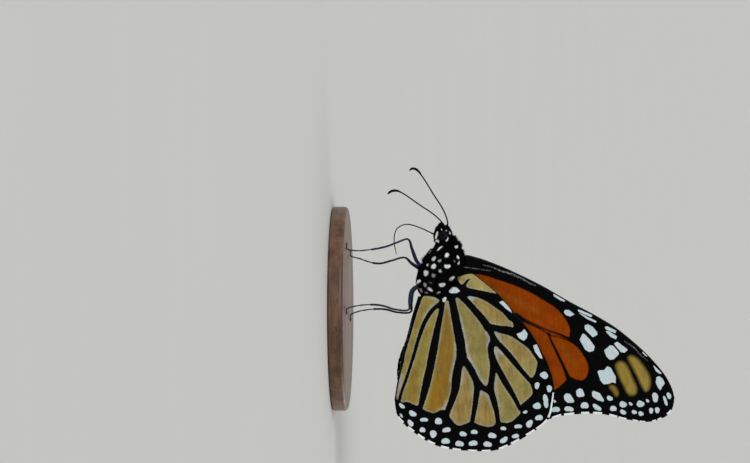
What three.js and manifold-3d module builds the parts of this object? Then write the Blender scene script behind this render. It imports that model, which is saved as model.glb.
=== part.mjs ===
// Monarch butterfly (Danaus plexippus), life size, feeding with its wings closed over its back.
// It stands on a plain round stand. Millimetres, +Z up, head towards -X, left side towards -Y.
// The origin is the middle of the stand's underside.
import * as THREE from "three";
import { mergeVertices } from "three/addons/utils/BufferGeometryUtils.js";
import Module from "manifold-3d";

// Driving dimensions
const STAND_RADIUS = 20;
const STAND_HEIGHT = 3;
const STAND_BEVEL = 0.7;
const STAND_SIDES = 40;

const WING_THICKNESS = 0.5;
const WING_RINGS = 5;
const WING_SEGMENTS = 44;
const FOREWING_APART = 0.45; // from the midline to a forewing's middle surface, above the body
const HINDWING_APART = 1.15;
const ROOT_SPREAD = 1.6; // how much further out both pairs stand beside the body
const SPREAD_HEIGHT = 6; // over this height above the body the wings come together
const BACK_LINE = { x: -8, z: 21, slope: -0.26 }; // the line along the body where they start to

const JOINT_GAP = 0.3; // clearance between neighbouring parts of the body
const FINE_GAP = 0.12; // clearance of eyes, palps, feelers and the mouthparts

const BODY_SIDES = 16;
const LIMB_SIDES = 8;
const FEELER_SIDES = 6;
const FOOT_FLAT = 0.1; // how much is taken off under each foot to make its flat

const EYE = { x: -14.25, y: 1.36, z: 21.75, along: 1.0, out: 0.68, up: 1.05 };

// Sections of the body: x, lowest z, highest z, half width. Each is an upright oval.
const HEAD_SECTIONS = [
  [-16.3, 21.55, 22.45, 0.4],
  [-16.0, 21.15, 22.95, 0.85],
  [-15.35, 20.75, 23.25, 1.35],
  [-14.45, 20.4, 23.6, 1.65],
  [-13.5, 20.2, 23.85, 1.75],
  [-12.75, 20.1, 23.6, 1.6],
];
const THORAX_SECTIONS = [
  [-12.4, 20.0, 23.8, 1.8],
  [-11.75, 19.65, 25.25, 2.45],
  [-10.7, 18.95, 25.75, 3.0],
  [-9.5, 18.3, 25.85, 3.3],
  [-8.15, 17.0, 25.8, 3.45],
  [-6.6, 16.35, 25.3, 3.4],
  [-5.05, 16.15, 24.4, 3.1],
  [-3.65, 16.5, 23.0, 2.6],
  [-2.5, 17.2, 21.7, 2.1],
];
const ABDOMEN_SECTIONS = [
  [-2.15, 17.1, 21.4, 1.7],
  [0, 16.2, 20.4, 1.95],
  [4, 15.2, 19.2, 2.0],
  [7.4, 13.75, 17.6, 1.95],
  [10, 12.85, 16.3, 1.8],
  [12.4, 12.55, 15.1, 1.4],
  [14, 12.65, 14.1, 0.85],
  [14.8, 12.95, 13.55, 0.35],
];

// Wing outlines seen from the side, as x and z, from the root along the leading edge and back.
const FOREWING_OUTLINE = [
  [-10.5, 25.7], [-10.15, 28.1], [-8.65, 32.4], [-6.7, 36.8], [-4.45, 41.3], [-1.45, 46.5],
  [1.6, 52.2], [4.15, 56.2], [9.45, 62.2], [13.85, 65.7], [17.3, 66.9], [20.3, 66.0],
  [22.0, 62.6], [21.6, 57.6], [20.55, 52.5], [20.85, 45.1], [21.5, 41.9], [20.25, 39.3],
  [14.0, 33.8], [6.1, 28.9], [-0.7, 25.4], [-5.2, 23.4], [-8.0, 22.9],
];
const FOREWING_MIDDLE = [7, 47];
const HINDWING_OUTLINE = [
  [-6.5, 24.8], [-7.05, 27.4], [-5.75, 29.3], [-3.2, 32.3], [0.4, 35.4], [4.45, 38.8],
  [9.95, 41.8], [14.95, 43.3], [18.4, 43.1], [21.7, 42.2], [24.8, 38.1], [27.5, 32.5],
  [27.75, 26.5], [26.9, 20.8], [24.7, 16.75], [21.2, 13.05], [18.0, 12.25], [13.9, 12.95],
  [8.2, 14.3], [1.6, 15.95], [-2.0, 16.8], [-4.1, 19.7],
];
const HINDWING_MIDDLE = [11, 27];

// Limbs and feelers as x, distance out from the midline, z and radius, from the body outwards.
const FEELER_RADIUS = 0.25;
const CLUB_RADIUS = 0.32;
const LEFT_ANTENNA = [
  [-15.7, 0.6, 22.1, FEELER_RADIUS],
  [-16.6, 0.85, 21.75, FEELER_RADIUS],
  [-18.3, 1.5, 20.1, FEELER_RADIUS],
  [-20.45, 2.4, 17.0, FEELER_RADIUS],
  [-22.6, 3.5, 13.9, FEELER_RADIUS],
  [-23.1, 3.85, 12.75, CLUB_RADIUS],
  [-23.0, 4.1, 11.7, CLUB_RADIUS],
  [-22.45, 4.3, 10.95, FEELER_RADIUS],
];
const RIGHT_ANTENNA = [
  [-15.7, 0.6, 22.4, FEELER_RADIUS],
  [-16.9, 0.85, 22.5, FEELER_RADIUS],
  [-19.2, 1.5, 21.7, FEELER_RADIUS],
  [-22.5, 2.5, 19.6, FEELER_RADIUS],
  [-25.7, 3.6, 17.55, FEELER_RADIUS],
  [-27.25, 4.1, 16.3, CLUB_RADIUS],
  [-27.5, 4.35, 15.4, CLUB_RADIUS],
  [-27.1, 4.5, 14.8, FEELER_RADIUS],
];
const PROBOSCIS = [
  [-14.55, 0, 19.95, FEELER_RADIUS],
  [-15.7, 0, 17.5, FEELER_RADIUS],
  [-16.5, 0, 15.05, FEELER_RADIUS],
  [-16.4, 0, 13.75, FEELER_RADIUS],
  [-15.6, 0, 12.55, FEELER_RADIUS],
  [-14.3, 0, 12.1, FEELER_RADIUS],
  [-12.6, 0, 12.1, FEELER_RADIUS],
  [-10.6, 0, 12.5, FEELER_RADIUS],
];
const PALP = [
  [-13.15, 0.85, 20.15, 0.4],
  [-14.25, 0.85, 20.0, 0.45],
  [-15.35, 0.85, 20.25, 0.45],
  [-16.2, 0.8, 20.75, 0.38],
  [-16.85, 0.75, 21.2, 0.26],
];

const FEMUR_RADIUS = 0.48;
const KNEE_RADIUS = 0.34;
const TIBIA_RADIUS = 0.26;
const TARSUS_RADIUS = 0.25;
const FOOT_Z = STAND_HEIGHT + TARSUS_RADIUS - FOOT_FLAT;
const LEFT_MIDLEG = [
  [-7.9, 1.2, 17.9, FEMUR_RADIUS],
  [-9.2, 2.1, 16.65, FEMUR_RADIUS],
  [-11.6, 3.4, 15.75, FEMUR_RADIUS],
  [-13.6, 4.3, 15.0, KNEE_RADIUS],
  [-13.0, 5.0, 12.9, TIBIA_RADIUS],
  [-12.2, 5.6, 10.8, TIBIA_RADIUS],
  [-11.6, 6.0, 7.8, TARSUS_RADIUS],
  [-11.4, 6.4, 4.6, TARSUS_RADIUS],
  [-11.8, 6.7, FOOT_Z, TARSUS_RADIUS],
  [-12.8, 7.0, FOOT_Z, TARSUS_RADIUS],
];
const RIGHT_MIDLEG = [
  [-7.2, 1.2, 18.0, FEMUR_RADIUS],
  [-7.9, 2.0, 16.9, FEMUR_RADIUS],
  [-8.9, 3.1, 15.3, FEMUR_RADIUS],
  [-10.0, 4.1, 13.95, KNEE_RADIUS],
  [-9.4, 4.8, 11.3, TIBIA_RADIUS],
  [-8.85, 5.3, 9.1, TIBIA_RADIUS],
  [-9.0, 5.7, 7.4, TARSUS_RADIUS],
  [-9.8, 6.1, 4.9, TARSUS_RADIUS],
  [-10.4, 6.4, FOOT_Z, TARSUS_RADIUS],
  [-11.3, 6.7, FOOT_Z, TARSUS_RADIUS],
];
const LEFT_HINDLEG = [
  [-4.9, 1.2, 17.3, FEMUR_RADIUS],
  [-3.6, 2.3, 15.65, FEMUR_RADIUS],
  [-1.5, 3.4, 15.25, FEMUR_RADIUS],
  [0.15, 4.3, 15.1, KNEE_RADIUS],
  [0.1, 5.0, 12.5, TIBIA_RADIUS],
  [-0.65, 5.6, 10.0, TIBIA_RADIUS],
  [-0.85, 5.9, 7.6, TARSUS_RADIUS],
  [-0.5, 6.4, 4.5, TARSUS_RADIUS],
  [0.0, 6.7, FOOT_Z, TARSUS_RADIUS],
  [0.9, 7.0, FOOT_Z, TARSUS_RADIUS],
];
const RIGHT_HINDLEG_SHIFT = 1.5; // the right hind foot is set down a little further back
const FORELEG = [
  [-9.5, 1.3, 17.85, 0.28],
  [-10.4, 1.45, 18.3, 0.32],
  [-11.6, 1.4, 19.15, 0.3],
  [-11.4, 0.9, 18.8, 0.26],
  [-10.6, 0.65, 18.2, 0.26],
  [-9.8, 0.5, 17.75, 0.25],
];

// Plain colours of the materials
const COLOURS = {
  coat: [0x0b0b0d, 0.85],
  eye: [0x120c0c, 0.25],
  horn: [0x0e0f14, 0.45],
  limb: [0x141a2e, 0.4],
  forewing: [0x9a4a12, 0.7],
  hindwing: [0x94803f, 0.75],
  stand: [0x5b3a22, 0.5],
};

const wasm = await Module();
wasm.setup();

// A three.js geometry as a solid for cutting, and back.
function toSolid(geometry) {
  const bare = geometry.clone();
  bare.deleteAttribute("normal");
  bare.deleteAttribute("uv");
  const merged = mergeVertices(bare, 1e-3);
  return new wasm.Manifold(
    new wasm.Mesh({
      numProp: 3,
      vertProperties: merged.attributes.position.array,
      triVerts: new Uint32Array(merged.index.array),
    }),
  );
}

// The largest piece of a solid, so that a cut leaves no slivers behind.
function toGeometry(solid) {
  const pieces = solid.decompose();
  const main = pieces.reduce((a, b) => (b.volume() > a.volume() ? b : a));
  const mesh = main.getMesh();
  const geometry = new THREE.BufferGeometry();
  geometry.setAttribute("position", new THREE.BufferAttribute(mesh.vertProperties, 3));
  geometry.setIndex(new THREE.BufferAttribute(mesh.triVerts, 1));
  geometry.computeVertexNormals();
  return geometry;
}

// A closed surface through rings of equal numbers of points, with a fan over each end.
function skinRings(rings) {
  const sides = rings[0].length;
  const middle = (ring) =>
    ring.reduce((sum, p) => sum.add(p), new THREE.Vector3()).divideScalar(ring.length);
  const points = rings.flat();
  const first = points.push(middle(rings[0])) - 1;
  const last = points.push(middle(rings[rings.length - 1])) - 1;
  const faces = [];
  for (let i = 0; i < rings.length - 1; i++) {
    for (let j = 0; j < sides; j++) {
      const a = i * sides + j;
      const b = i * sides + ((j + 1) % sides);
      faces.push(a, b, a + sides, b, b + sides, a + sides);
    }
  }
  const end = (rings.length - 1) * sides;
  for (let j = 0; j < sides; j++) {
    const next = (j + 1) % sides;
    faces.push(first, next, j);
    faces.push(last, end + j, end + next);
  }
  const geometry = new THREE.BufferGeometry().setFromPoints(points);
  geometry.setIndex(faces);
  if (toSolid(geometry).volume() < 0) {
    for (let i = 0; i < faces.length; i += 3) {
      [faces[i + 1], faces[i + 2]] = [faces[i + 2], faces[i + 1]];
    }
    geometry.setIndex(faces);
  }
  geometry.computeVertexNormals();
  return geometry;
}

// A length of body through upright oval sections, grown outwards where a neighbour is cut by it.
function bodyLength(sections, grow = 0) {
  const along = new THREE.CatmullRomCurve3(
    sections.map(([x, low, high]) => new THREE.Vector3(x, low, high)),
  );
  const widths = new THREE.CatmullRomCurve3(
    sections.map(([x, , , width]) => new THREE.Vector3(x, width, 0)),
  );
  const steps = 2 * (sections.length - 1);
  const rings = [];
  for (let i = 0; i <= steps; i++) {
    const at = along.getPoint(i / steps);
    const halfWidth = widths.getPoint(i / steps).y + grow;
    const halfHeight = (at.z - at.y) / 2 + grow;
    const middle = (at.z + at.y) / 2;
    const shift = i === 0 ? -grow : i === steps ? grow : 0;
    const ring = [];
    for (let j = 0; j < BODY_SIDES; j++) {
      const angle = (2 * Math.PI * j) / BODY_SIDES;
      ring.push(
        new THREE.Vector3(
          at.x + shift,
          halfWidth * Math.sin(angle),
          middle + halfHeight * Math.cos(angle),
        ),
      );
    }
    rings.push(ring);
  }
  return skinRings(rings);
}

// A round limb whose thickness follows its points. side is -1 for the left and 1 for the right.
function limb(points, side, sides, stepsEach) {
  const path = new THREE.CatmullRomCurve3(
    points.map(([x, out, z]) => new THREE.Vector3(x, side * out, z)),
    false,
    "centripetal",
  );
  const count = stepsEach * (points.length - 1);
  const across = new THREE.Vector3(0, 1, 0);
  const rings = [];
  for (let i = 0; i <= count; i++) {
    const t = i / count;
    const place = t * (points.length - 1);
    const before = Math.min(Math.floor(place), points.length - 2);
    const radius = THREE.MathUtils.lerp(points[before][3], points[before + 1][3], place - before);
    const heading = path.getTangent(t);
    const u = across.clone().addScaledVector(heading, -across.dot(heading)).normalize();
    const v = heading.clone().cross(u);
    const centre = path.getPoint(t);
    const ring = [];
    for (let j = 0; j < sides; j++) {
      const angle = (2 * Math.PI * j) / sides;
      ring.push(
        centre
          .clone()
          .addScaledVector(u, radius * Math.cos(angle))
          .addScaledVector(v, radius * Math.sin(angle)),
      );
    }
    rings.push(ring);
  }
  return skinRings(rings);
}

// How far out from the midline a wing's middle surface stands at a height above the body.
function wingDistance(apart, x, z) {
  const start = BACK_LINE.z + BACK_LINE.slope * (x - BACK_LINE.x);
  const above = Math.max(0, z - start) / SPREAD_HEIGHT;
  return apart + ROOT_SPREAD * Math.exp(-above * above);
}

// A wing: a curved plate whose outline is widened from its middle in rings.
function wing(outline, middle, apart, side) {
  const edge = new THREE.CatmullRomCurve3(
    outline.map(([x, z]) => new THREE.Vector3(x, 0, z)),
    true,
    "centripetal",
  ).getSpacedPoints(WING_SEGMENTS);
  edge.pop();
  const centre = new THREE.Vector3(middle[0], 0, middle[1]);
  const faceRings = (offset) => {
    const rings = [];
    for (let i = 1; i <= WING_RINGS; i++) {
      rings.push(
        edge.map((p) => {
          const q = centre.clone().lerp(p, i / WING_RINGS);
          q.y = side * (wingDistance(apart, q.x, q.z) + offset);
          return q;
        }),
      );
    }
    return rings;
  };
  const outer = faceRings(WING_THICKNESS / 2);
  const inner = faceRings(-WING_THICKNESS / 2).reverse();
  return skinRings([...outer, ...inner]);
}

function ellipsoid(x, y, z, along, out, up) {
  const ball = new THREE.SphereGeometry(1, 16, 10);
  ball.scale(along, out, up);
  ball.translate(x, y, z);
  return ball;
}

function eye(side, grow = 0) {
  return ellipsoid(
    EYE.x, side * EYE.y, EYE.z, EYE.along + grow, EYE.out + grow, EYE.up + grow,
  );
}

// A round plain stand with its upper and lower edges bevelled.
function stand() {
  const r = STAND_RADIUS;
  const b = STAND_BEVEL;
  const h = STAND_HEIGHT;
  const profile = [
    [0, 0], [r - b / 2, 0], [r, b / 2], [r, h - b], [r - b, h], [0, h],
  ].map(([x, y]) => new THREE.Vector2(x, y));
  const disc = new THREE.LatheGeometry(profile, STAND_SIDES);
  disc.rotateX(Math.PI / 2);
  return disc;
}

const group = new THREE.Group();

function add(name, geometry, finish) {
  const [color, roughness] = COLOURS[finish];
  const material = new THREE.MeshStandardMaterial({ color, roughness, metalness: 0 });
  const mesh = new THREE.Mesh(geometry, material);
  mesh.name = name;
  group.add(mesh);
}

// A block whose top is level with the stand's, which trims the feet to flats.
const GROUND_SIZE = 60;
const ground = new THREE.BoxGeometry(GROUND_SIZE, GROUND_SIZE, GROUND_SIZE);
ground.translate(0, 0, STAND_HEIGHT - GROUND_SIZE / 2);

const solidOf = {
  head: toSolid(bodyLength(HEAD_SECTIONS, FINE_GAP)),
  thorax: toSolid(bodyLength(THORAX_SECTIONS, JOINT_GAP)),
  abdomen: toSolid(bodyLength(ABDOMEN_SECTIONS, JOINT_GAP)),
  ground: toSolid(ground),
};

function cutBy(geometry, ...names) {
  let solid = toSolid(geometry);
  for (const name of names) {
    solid = solid.subtract(solidOf[name]);
  }
  return toGeometry(solid);
}

function hindlegPoints(side) {
  const shift = side > 0 ? RIGHT_HINDLEG_SHIFT : 0;
  const last = LEFT_HINDLEG.length - 1;
  return LEFT_HINDLEG.map(([x, out, z, r], i) => [x + (shift * i) / last, out, z, r]);
}

let headSolid = toSolid(bodyLength(HEAD_SECTIONS));
for (const side of [-1, 1]) {
  headSolid = headSolid.subtract(toSolid(eye(side, FINE_GAP)));
}
add("head", toGeometry(headSolid), "coat");
add("thorax", bodyLength(THORAX_SECTIONS), "coat");
add("abdomen", bodyLength(ABDOMEN_SECTIONS), "coat");
add("proboscis", cutBy(limb(PROBOSCIS, 1, FEELER_SIDES, 3), "head"), "horn");

for (const [word, side] of [["left", -1], ["right", 1]]) {
  const antenna = side < 0 ? LEFT_ANTENNA : RIGHT_ANTENNA;
  const midleg = side < 0 ? LEFT_MIDLEG : RIGHT_MIDLEG;
  add("eye_" + word, eye(side), "eye");
  add("palp_" + word, cutBy(limb(PALP, side, LIMB_SIDES, 2), "head"), "coat");
  add("antenna_" + word, cutBy(limb(antenna, side, FEELER_SIDES, 3), "head"), "horn");
  add(
    "forewing_" + word,
    cutBy(wing(FOREWING_OUTLINE, FOREWING_MIDDLE, FOREWING_APART, side), "thorax", "abdomen"),
    "forewing",
  );
  add(
    "hindwing_" + word,
    cutBy(wing(HINDWING_OUTLINE, HINDWING_MIDDLE, HINDWING_APART, side), "thorax", "abdomen"),
    "hindwing",
  );
  add("foreleg_" + word, cutBy(limb(FORELEG, side, LIMB_SIDES, 2), "thorax"), "coat");
  add("midleg_" + word, cutBy(limb(midleg, side, LIMB_SIDES, 2), "thorax", "ground"), "limb");
  add(
    "hindleg_" + word,
    cutBy(limb(hindlegPoints(side), side, LIMB_SIDES, 2), "thorax", "ground"),
    "limb",
  );
}

add("stand_base", stand(), "stand");

export default group;
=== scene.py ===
"""Monarch butterfly (Danaus plexippus), life size, feeding with its wings closed over its back.

It stands on a round wooden stand. Sizes are named in millimetres where they are set and turned
into metres where a mesh is made. +Z is up, the head points towards -X, and the left side faces -Y.
"""

import math

import bmesh
import bpy
import numpy as np
from bpy.props import FloatProperty, FloatVectorProperty, IntProperty, PointerProperty
from mathutils import Matrix, Vector
from mathutils.bvhtree import BVHTree
from mathutils.geometry import delaunay_2d_cdt


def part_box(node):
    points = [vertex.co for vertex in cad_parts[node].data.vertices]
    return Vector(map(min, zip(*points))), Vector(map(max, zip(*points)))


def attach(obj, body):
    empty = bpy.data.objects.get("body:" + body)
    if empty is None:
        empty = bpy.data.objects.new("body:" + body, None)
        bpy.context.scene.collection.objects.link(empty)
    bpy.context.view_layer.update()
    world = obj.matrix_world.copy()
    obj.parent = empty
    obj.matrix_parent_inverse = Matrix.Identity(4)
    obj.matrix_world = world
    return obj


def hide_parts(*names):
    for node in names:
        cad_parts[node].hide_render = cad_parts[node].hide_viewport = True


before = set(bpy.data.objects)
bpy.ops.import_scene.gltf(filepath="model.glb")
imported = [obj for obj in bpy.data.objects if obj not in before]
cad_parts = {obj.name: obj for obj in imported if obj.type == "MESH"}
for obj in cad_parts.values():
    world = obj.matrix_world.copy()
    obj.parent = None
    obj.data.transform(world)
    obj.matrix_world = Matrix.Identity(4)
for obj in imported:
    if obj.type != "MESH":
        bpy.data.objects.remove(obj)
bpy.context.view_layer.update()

bl_info = {
    "name": "Monarch butterfly",
    "version": (1, 0, 0),
    "blender": (4, 5, 0),
    "location": "View3D > Sidebar > Butterfly",
    "description": "Dresses a life-size monarch butterfly in scales, hair and markings",
    "category": "Object",
}

MM = 0.001
SIDES = (("left", -1), ("right", 1))
# Farther than anything on the butterfly, in millimetres.
FAR = 1000.0

# ---- The shapes of the solids, in millimetres ------------

STAND_TOP = 3.0
STAND_BEVEL = 0.7
# How far each wing stands out from the midline high up, and how much farther at its root.
FOREWING_APART = 0.45
HINDWING_APART = 1.15
ROOT_SPREAD = 1.6
# The spread fades over this height above the line of the back.
SPREAD_HEIGHT = 6.0
BACK_LINE = {"x": -8.0, "z": 21.0, "slope": -0.26}

EYE_CENTRE = (-14.2, 1.36, 21.68)
EYE_RADII = (0.98, 0.66, 0.94)

# Sections of the body: x, lowest z, highest z, half width. Each is an upright oval.
HEAD_SECTIONS = [
    (-16.3, 21.55, 22.45, 0.4), (-16, 21.15, 22.95, 0.85), (-15.35, 20.75, 23.25, 1.35),
    (-14.45, 20.4, 23.6, 1.65), (-13.5, 20.2, 23.85, 1.75), (-12.75, 20.1, 23.6, 1.6),
]
THORAX_SECTIONS = [
    (-12.4, 20, 23.8, 1.8), (-11.75, 19.65, 25.25, 2.45), (-10.7, 18.95, 25.75, 3),
    (-9.5, 18.3, 25.85, 3.3), (-8.15, 17, 25.8, 3.45), (-6.6, 16.35, 25.3, 3.4), (-5.05, 16.15, 24.4, 3.1),
    (-3.65, 16.5, 23, 2.6), (-2.5, 17.2, 21.7, 2.1),
]
ABDOMEN_SECTIONS = [
    (-2.15, 17.1, 21.4, 1.7), (0, 16.2, 20.4, 1.95), (4, 15.2, 19.2, 2), (7.4, 13.75, 17.6, 1.95),
    (10, 12.85, 16.3, 1.8), (12.4, 12.55, 15.1, 1.4), (14, 12.65, 14.1, 0.85), (14.8, 12.95, 13.55, 0.35),
]
# Short lengths inside the body that bridge the gaps at the neck and the waist.
NECK_SECTIONS = [(-13.6, 20.5, 23.4, 1.3), (-12.6, 20.3, 23.7, 1.5), (-11.6, 20.1, 24.3, 1.8)]
WAIST_SECTIONS = [(-3.6, 17.6, 21.6, 1.5), (-2.3, 17.4, 21.2, 1.45), (-1.0, 17.2, 20.6, 1.5)]

# Swellings on the body: middle x, distance out, z, and the three radii.
COLLAR = [(-13.0, 0.6, 23.5, 1.1, 0.85, 0.6), (-12.2, 0.6, 24.1, 0.9, 0.9, 0.85)]
FACE = [(-15.5, 0.25, 21.25, 0.9, 0.6, 0.75)]
COXAE = [
    (-9.3, 1.35, 18.6, 0.9, 0.6, 0.75), (-7.7, 1.45, 17.75, 1, 0.75, 0.85),
    (-4.9, 1.35, 17.25, 1, 0.75, 0.75),
]
SHOULDERS = [(-9.6, 2.35, 24.1, 1.3, 0.75, 0.95), (-6.4, 2.3, 23.7, 1.2, 0.7, 0.8)]

FOREWING_OUTLINE = [
    (-10.5, 25.7), (-10.15, 28.1), (-8.65, 32.4), (-6.7, 36.8), (-4.45, 41.3), (-1.45, 46.5), (1.6, 52.2),
    (4.15, 56.2), (9.45, 62.2), (13.85, 65.7), (17.3, 66.9), (20.3, 66), (22, 62.6), (21.6, 57.6),
    (20.55, 52.5), (20.85, 45.1), (21.5, 41.9), (20.25, 39.3), (14, 33.8), (6.1, 28.9), (-0.7, 25.4),
    (-5.2, 23.4), (-8, 22.9),
]
HINDWING_OUTLINE = [
    (-6.5, 24.8), (-7.05, 27.4), (-5.75, 29.3), (-3.2, 32.3), (0.4, 35.4), (4.45, 38.8), (9.95, 41.8),
    (14.95, 43.3), (18.4, 43.1), (21.7, 42.2), (24.8, 38.1), (27.5, 32.5), (27.75, 26.5), (26.9, 20.8),
    (24.7, 16.75), (21.2, 13.05), (18, 12.25), (13.9, 12.95), (8.2, 14.3), (1.6, 15.95), (-2, 16.8),
    (-4.1, 19.7),
]

# Limbs and feelers as x, distance out from the midline and z, from the body outwards.
LEFT_ANTENNA = [
    (-15.7, 0.95, 22.2), (-16.6, 1.3, 21.75), (-18.3, 1.7, 20.1), (-20.45, 2.4, 17), (-22.6, 3.5, 13.9),
    (-23.1, 3.85, 12.75), (-23, 4.1, 11.7), (-22.45, 4.3, 10.95),
]
RIGHT_ANTENNA = [
    (-15.7, 0.6, 22.4), (-16.9, 0.85, 22.5), (-19.2, 1.5, 21.7), (-22.5, 2.5, 19.6), (-25.7, 3.6, 17.55),
    (-27.25, 4.1, 16.3), (-27.5, 4.35, 15.4), (-27.1, 4.5, 14.8),
]
PROBOSCIS = [
    (-14.55, 0, 19.95), (-15.7, 0, 17.5), (-16.5, 0, 15.05), (-16.4, 0, 13.75), (-15.6, 0, 12.55),
    (-14.3, 0, 12.1), (-12.6, 0, 12.1), (-10.6, 0, 12.5),
]
PALP = [
    (-13.15, 0.95, 20.4), (-14.25, 1, 20.3), (-15.35, 0.95, 20.55), (-16.2, 0.85, 21), (-16.9, 0.75, 21.25),
]
# The middle line of a foot that lies on the stand.
FOOT_Z = STAND_TOP + 0.13
LEFT_MIDLEG = [
    (-7.9, 1.2, 17.9), (-9.2, 2.1, 16.65), (-11.6, 3.4, 15.75), (-13.6, 4.3, 15), (-13, 5, 12.9),
    (-12.2, 5.6, 10.8), (-11.6, 6, 7.8), (-11.4, 6.4, 4.6), (-11.8, 6.7, FOOT_Z), (-12.8, 7, FOOT_Z),
]
RIGHT_MIDLEG = [
    (-7.2, 1.2, 18), (-7.9, 2, 16.9), (-8.9, 3.1, 15.3), (-10, 4.1, 13.95), (-9.4, 4.8, 11.3),
    (-8.85, 5.3, 9.1), (-9, 5.7, 7.4), (-9.8, 6.1, 4.9), (-10.4, 6.4, FOOT_Z), (-11.3, 6.7, FOOT_Z),
]
LEFT_HINDLEG = [
    (-4.9, 1.2, 17.3), (-3.6, 2.3, 15.65), (-1.5, 3.4, 15.25), (0.15, 4.3, 15.1), (0.1, 5, 12.5),
    (-0.65, 5.6, 10), (-0.85, 5.9, 7.6), (-0.5, 6.4, 4.5), (0, 6.7, FOOT_Z), (0.9, 7, FOOT_Z),
]
# How far the right hind foot stands behind the left one.
RIGHT_HINDLEG_SHIFT = 1.5
FORELEG = [
    (-9.5, 1.3, 18.1), (-10.4, 1.45, 18.6), (-11.6, 1.4, 19.35), (-11.4, 0.9, 19.05), (-10.6, 0.65, 18.45),
    (-9.8, 0.5, 18),
]

# ---- The markings, in millimetres seen from the side -----
# Veins of the hindwing, each as x, z and the width of its black band.
HINDWING_VEINS = {
    "inner edge": [
        (-2.4, 17, 1.5), (1.8, 15.7, 1.3), (4.2, 15.1, 1.2), (8.5, 14, 0.85), (12, 13.3, 0.5),
        (17.9, 12.3, 0.31),
    ],
    "second anal": [
        (-2.2, 21.9, 0.7), (-1.3, 21.4, 0.8), (0.3, 19.65, 0.85), (2.5, 18.25, 0.85), (4.7, 17.35, 0.78),
        (10.6, 15.57, 0.62), (14, 14.45, 0.6), (16.1, 13.7, 0.55), (18.3, 13.1, 0.65),
    ],
    "first anal": [
        (-2.3, 21.8, 0.95), (0.5, 21.4, 1.03), (3.4, 20.77, 1.25), (7.4, 19.98, 1.58), (11.7, 19.15, 1.56),
        (14, 18.62, 1.6), (15.9, 18.18, 1.45), (17.9, 17.66, 1.2), (19.9, 17.2, 0.8),
    ],
    "cubital stem": [
        (-3.1, 23.2, 1.3), (-1, 23.62, 1.45), (1, 24, 1.6), (4, 24.57, 1.75), (6.7, 25.1, 1.85),
        (9, 25.35, 1.8),
    ],
    "second cubital": [
        (9, 25.3, 1.7), (12, 24.55, 1.7), (14, 24.27, 1.78), (15.9, 24.05, 1.55), (17.9, 23.42, 1.3),
        (19.9, 22.68, 1.15), (21.6, 22.2, 1),
    ],
    "cell floor": [
        (8.5, 25.2, 1.3), (9.8, 25.75, 1.4), (11.4, 26.85, 1.4), (14, 28.2, 1.35), (14.9, 28.6, 1.25),
    ],
    "first cubital": [(14.8, 28.45, 1.25), (17.5, 28.16, 1.17), (19.9, 27.8, 1), (22.6, 27.3, 0.85)],
    "cell end": [(14.6, 28.4, 1.15), (15.5, 29.6, 1.15), (16.2, 30.8, 1.1)],
    "third median": [(15.3, 30.9, 1.2), (17.9, 31.6, 1.28), (19.9, 32.15, 1.02), (23, 32.55, 0.85)],
    "radial stem": [
        (-3.5, 24.1, 1.3), (-1.7, 26.1, 1.3), (0.25, 27.85, 1.3), (2.2, 29.5, 1.5), (4.2, 30.85, 1.35),
        (5.4, 31.4, 1.15), (6.3, 31.65, 1.35), (7.1, 31.2, 1.3), (8.1, 31.06, 1.3), (10, 31.33, 1.1),
        (12, 31.4, 1.15), (14, 31.2, 1.25), (15.5, 31, 1.2),
    ],
    "second median": [
        (9.5, 31.3, 1.1), (12.2, 32.7, 1.25), (14, 33.66, 1.28), (15.9, 34.81, 1.15), (17.9, 35.95, 0.9),
        (19.6, 36.8, 0.86),
    ],
    "first median": [
        (6, 31.6, 1.1), (8.1, 33.7, 1.15), (10, 35.33, 1.18), (12, 36.96, 0.97), (14.1, 38.8, 0.9),
    ],
    "radial sector": [
        (3.6, 30.3, 1.1), (3.65, 31.8, 1.15), (4, 32.8, 1.45), (4.5, 35.2, 1.8), (5.9, 37, 1.35),
        (7.5, 38.8, 0.95), (9.7, 40.3, 0.86),
    ],
    "subcostal": [
        (-4.2, 24, 0.78), (-4.2, 25.3, 0.98), (-3.4, 26.6, 1.25), (-2.85, 29.1, 1.3), (-2, 31.5, 1.55),
        (-0.85, 33.4, 1.8), (1.3, 35.2, 2.2),
    ],
    "humeral": [(-4.3, 25.7, 0.6), (-5, 26.15, 0.55), (-5.6, 26.6, 0.4), (-5.8, 27.1, 0.15)],
}
# The edge of the hindwing's tan ground, and of its yellow patch at the shoulder.
HINDWING_GROUND = [
    (16.9, 12.5), (18, 12.9), (18.3, 13.7), (18.2, 14.9), (18.9, 16.5), (18.9, 17.2), (19.5, 17.6),
    (20.1, 18.8), (20.4, 20), (19.9, 21), (19.8, 22), (20.6, 22.6), (22.8, 24.5), (22.7, 25.6),
    (22.2, 26.9), (22.3, 27.8), (22.8, 29.1), (23.1, 30.5), (22.9, 31.5), (22.1, 32.4), (22.3, 33.8),
    (22.1, 35), (21.3, 36), (20.4, 36.8), (18.8, 37), (17.9, 38), (16.6, 39.2), (15.4, 39), (13.9, 38.6),
    (13.2, 39.4), (11.9, 39.9), (10.2, 40.1), (8, 38.7), (5.8, 36.8), (4.5, 35.6), (2.9, 35.4), (1.5, 34.3),
    (0.1, 32.4), (-1.4, 30.2), (-2.2, 28.5), (-2.5, 26.9), (-2.2, 25.7), (-2.2, 24.4), (-1.7, 23),
    (-1.6, 21.4), (-2.2, 20.2), (-2.5, 18.7), (-2.2, 17.3), (-1.3, 16.8), (2.6, 15.7), (8.9, 14),
    (14.8, 12.7),
]
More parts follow.
